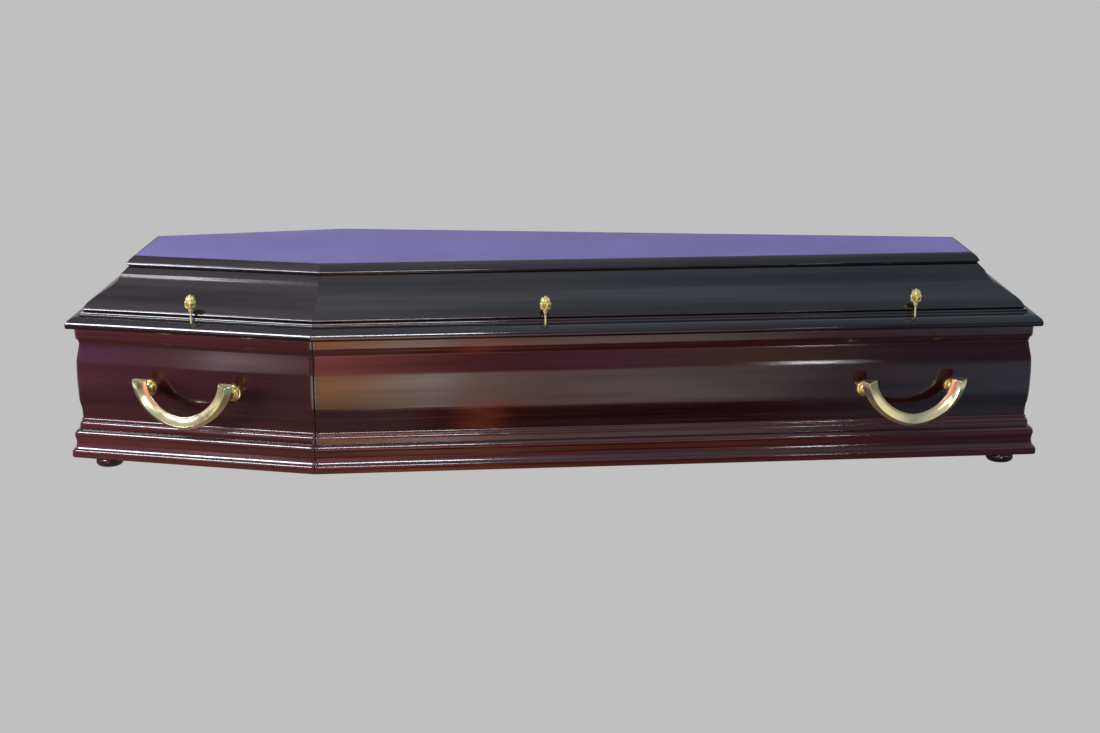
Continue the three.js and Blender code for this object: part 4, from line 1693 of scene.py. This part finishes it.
@dataclass(frozen=True)
class Lamp:
    """A soft rectangular lamp: where it hangs, its width and depth, its power and the point that it faces.

    gloss says whether it shows in the gloss; otherwise it only lights the colour beneath.
    """

    name: str
    at: Place
    size: Band
    watts: float
    aim: Place
    gloss: bool = True
    colour: Colour = (0.88, 0.95, 1.0)

    def build(self) -> None:
        """Adds the lamp."""
        data = bpy.data.lights.new(self.name, "AREA")
        data.shape = "RECTANGLE"
        data.size, data.size_y = self.size
        data.energy = self.watts
        data.color = self.colour
        lamp = bpy.data.objects.new(self.name, data)
        lamp.location = self.at
        lamp.rotation_euler = (Vector(self.aim) - Vector(self.at)).to_track_quat("-Z", "Y").to_euler()
        lamp.visible_camera = False
        lamp.visible_diffuse = not self.gloss
        lamp.visible_glossy = self.gloss
        bpy.context.scene.collection.objects.link(lamp)


LAMPS = (
    Lamp("lamp_at_head", (-2.24, -1.96, 1.50), (1.2, 0.6), 50.0, (-0.73, -0.29, 0.2)),
    Lamp("lamp_at_shoulder", (-0.14, -2.55, 1.55), (0.7, 0.35), 14.0, (-0.35, -0.3, 0.25)),
    Lamp("lamp_at_foot", (1.25, -2.40, 0.19), (0.15, 0.055), 0.8, (0.6, -0.3, 0.25)),
    Lamp("lamp_beside_head", (-3.00, -1.30, 0.46), (1.2, 0.6), 100.0, (-0.73, -0.29, 0.25), False),
)


@dataclass
class Studio:
    """Floor, lights, surroundings and camera. Angles are in degrees, lens and sensor in millimetres."""

    floor_size: float = 60.0
    floor_glow: float = 0.527
    pitch: float = 13.54
    yaw: float = 0.11
    roll: float = -0.07
    lens: float = 60.28
    sensor: float = 36.0
    viewpoint: Place = (-0.017, -3.854, 1.086)

    def floor(self) -> None:
        """Adds the plain pale floor, which isn't part of the object."""
        half = self.floor_size / 2
        corners = [(-half, -half, 0), (half, -half, 0), (half, half, 0), (-half, half, 0)]
        made, g = new_material("pale_floor")
        g.surface(
            "ShaderNodeBsdfPrincipled",
            {
                "Base Color": (0.0, 0.0, 0.0),
                "Roughness": 0.9,
                "Specular IOR Level": 0.0,
                "Emission Color": (1.0, 1.0, 1.0),
                "Emission Strength": self.floor_glow,
            },
        )
        floor = studio_plate("studio_floor", corners, made)
        floor.visible_glossy = False
        floor.visible_diffuse = False

    def camera(self) -> None:
        """Adds the camera at the photograph's viewing angle: a 60 mm lens 3.9 m in front and 1.1 m up."""
        pitch, yaw, roll = math.radians(self.pitch), math.radians(self.yaw), math.radians(self.roll)
        forward = Vector((math.sin(yaw) * math.cos(pitch), math.cos(yaw) * math.cos(pitch), -math.sin(pitch)))
        level = forward.cross(Vector((0, 0, 1))).normalized()
        upright = level.cross(forward)
        right = math.cos(roll) * level + math.sin(roll) * upright
        up = -math.sin(roll) * level + math.cos(roll) * upright
        data = bpy.data.cameras.new("view")
        data.sensor_width = self.sensor
        data.lens = self.lens
        camera = bpy.data.objects.new("view", data)
        matrix = Matrix.Identity(4)
        for column, axis in enumerate((right, up, -forward)):
            matrix.col[column][:3] = axis
        matrix.translation = self.viewpoint
        camera.matrix_world = matrix
        bpy.context.scene.collection.objects.link(camera)
        bpy.context.scene.camera = camera

    def build(self) -> None:
        """Adds everything round the object and sets how brightness is shown.

        Soft lamps hang in front of the head side and of the shoulder, a small low one in front of the
        foot end, and one beside the head only lights the colour beneath.
        """
        self.floor()
        for part in (*GLOSS_PLATES, Room(), *LAMPS):
            part.build()
        self.camera()
        view = bpy.context.scene.view_settings
        view.view_transform = "Standard"
        view.look = "None"


def main() -> None:
    """Builds the coffin and its studio in order."""
    logging.basicConfig(level=logging.INFO, format="%(name)s: %(message)s")
    finishes = Finishes.build()
    Carcass(finishes).build()
    lid = Lid(finishes)
    lid.build()
    BunFeet(finishes).build()
    BowHandles(finishes).build()
    RosebudScrews(finishes).build(lid)
    Studio().build()


if __name__ == "__main__":
    main()
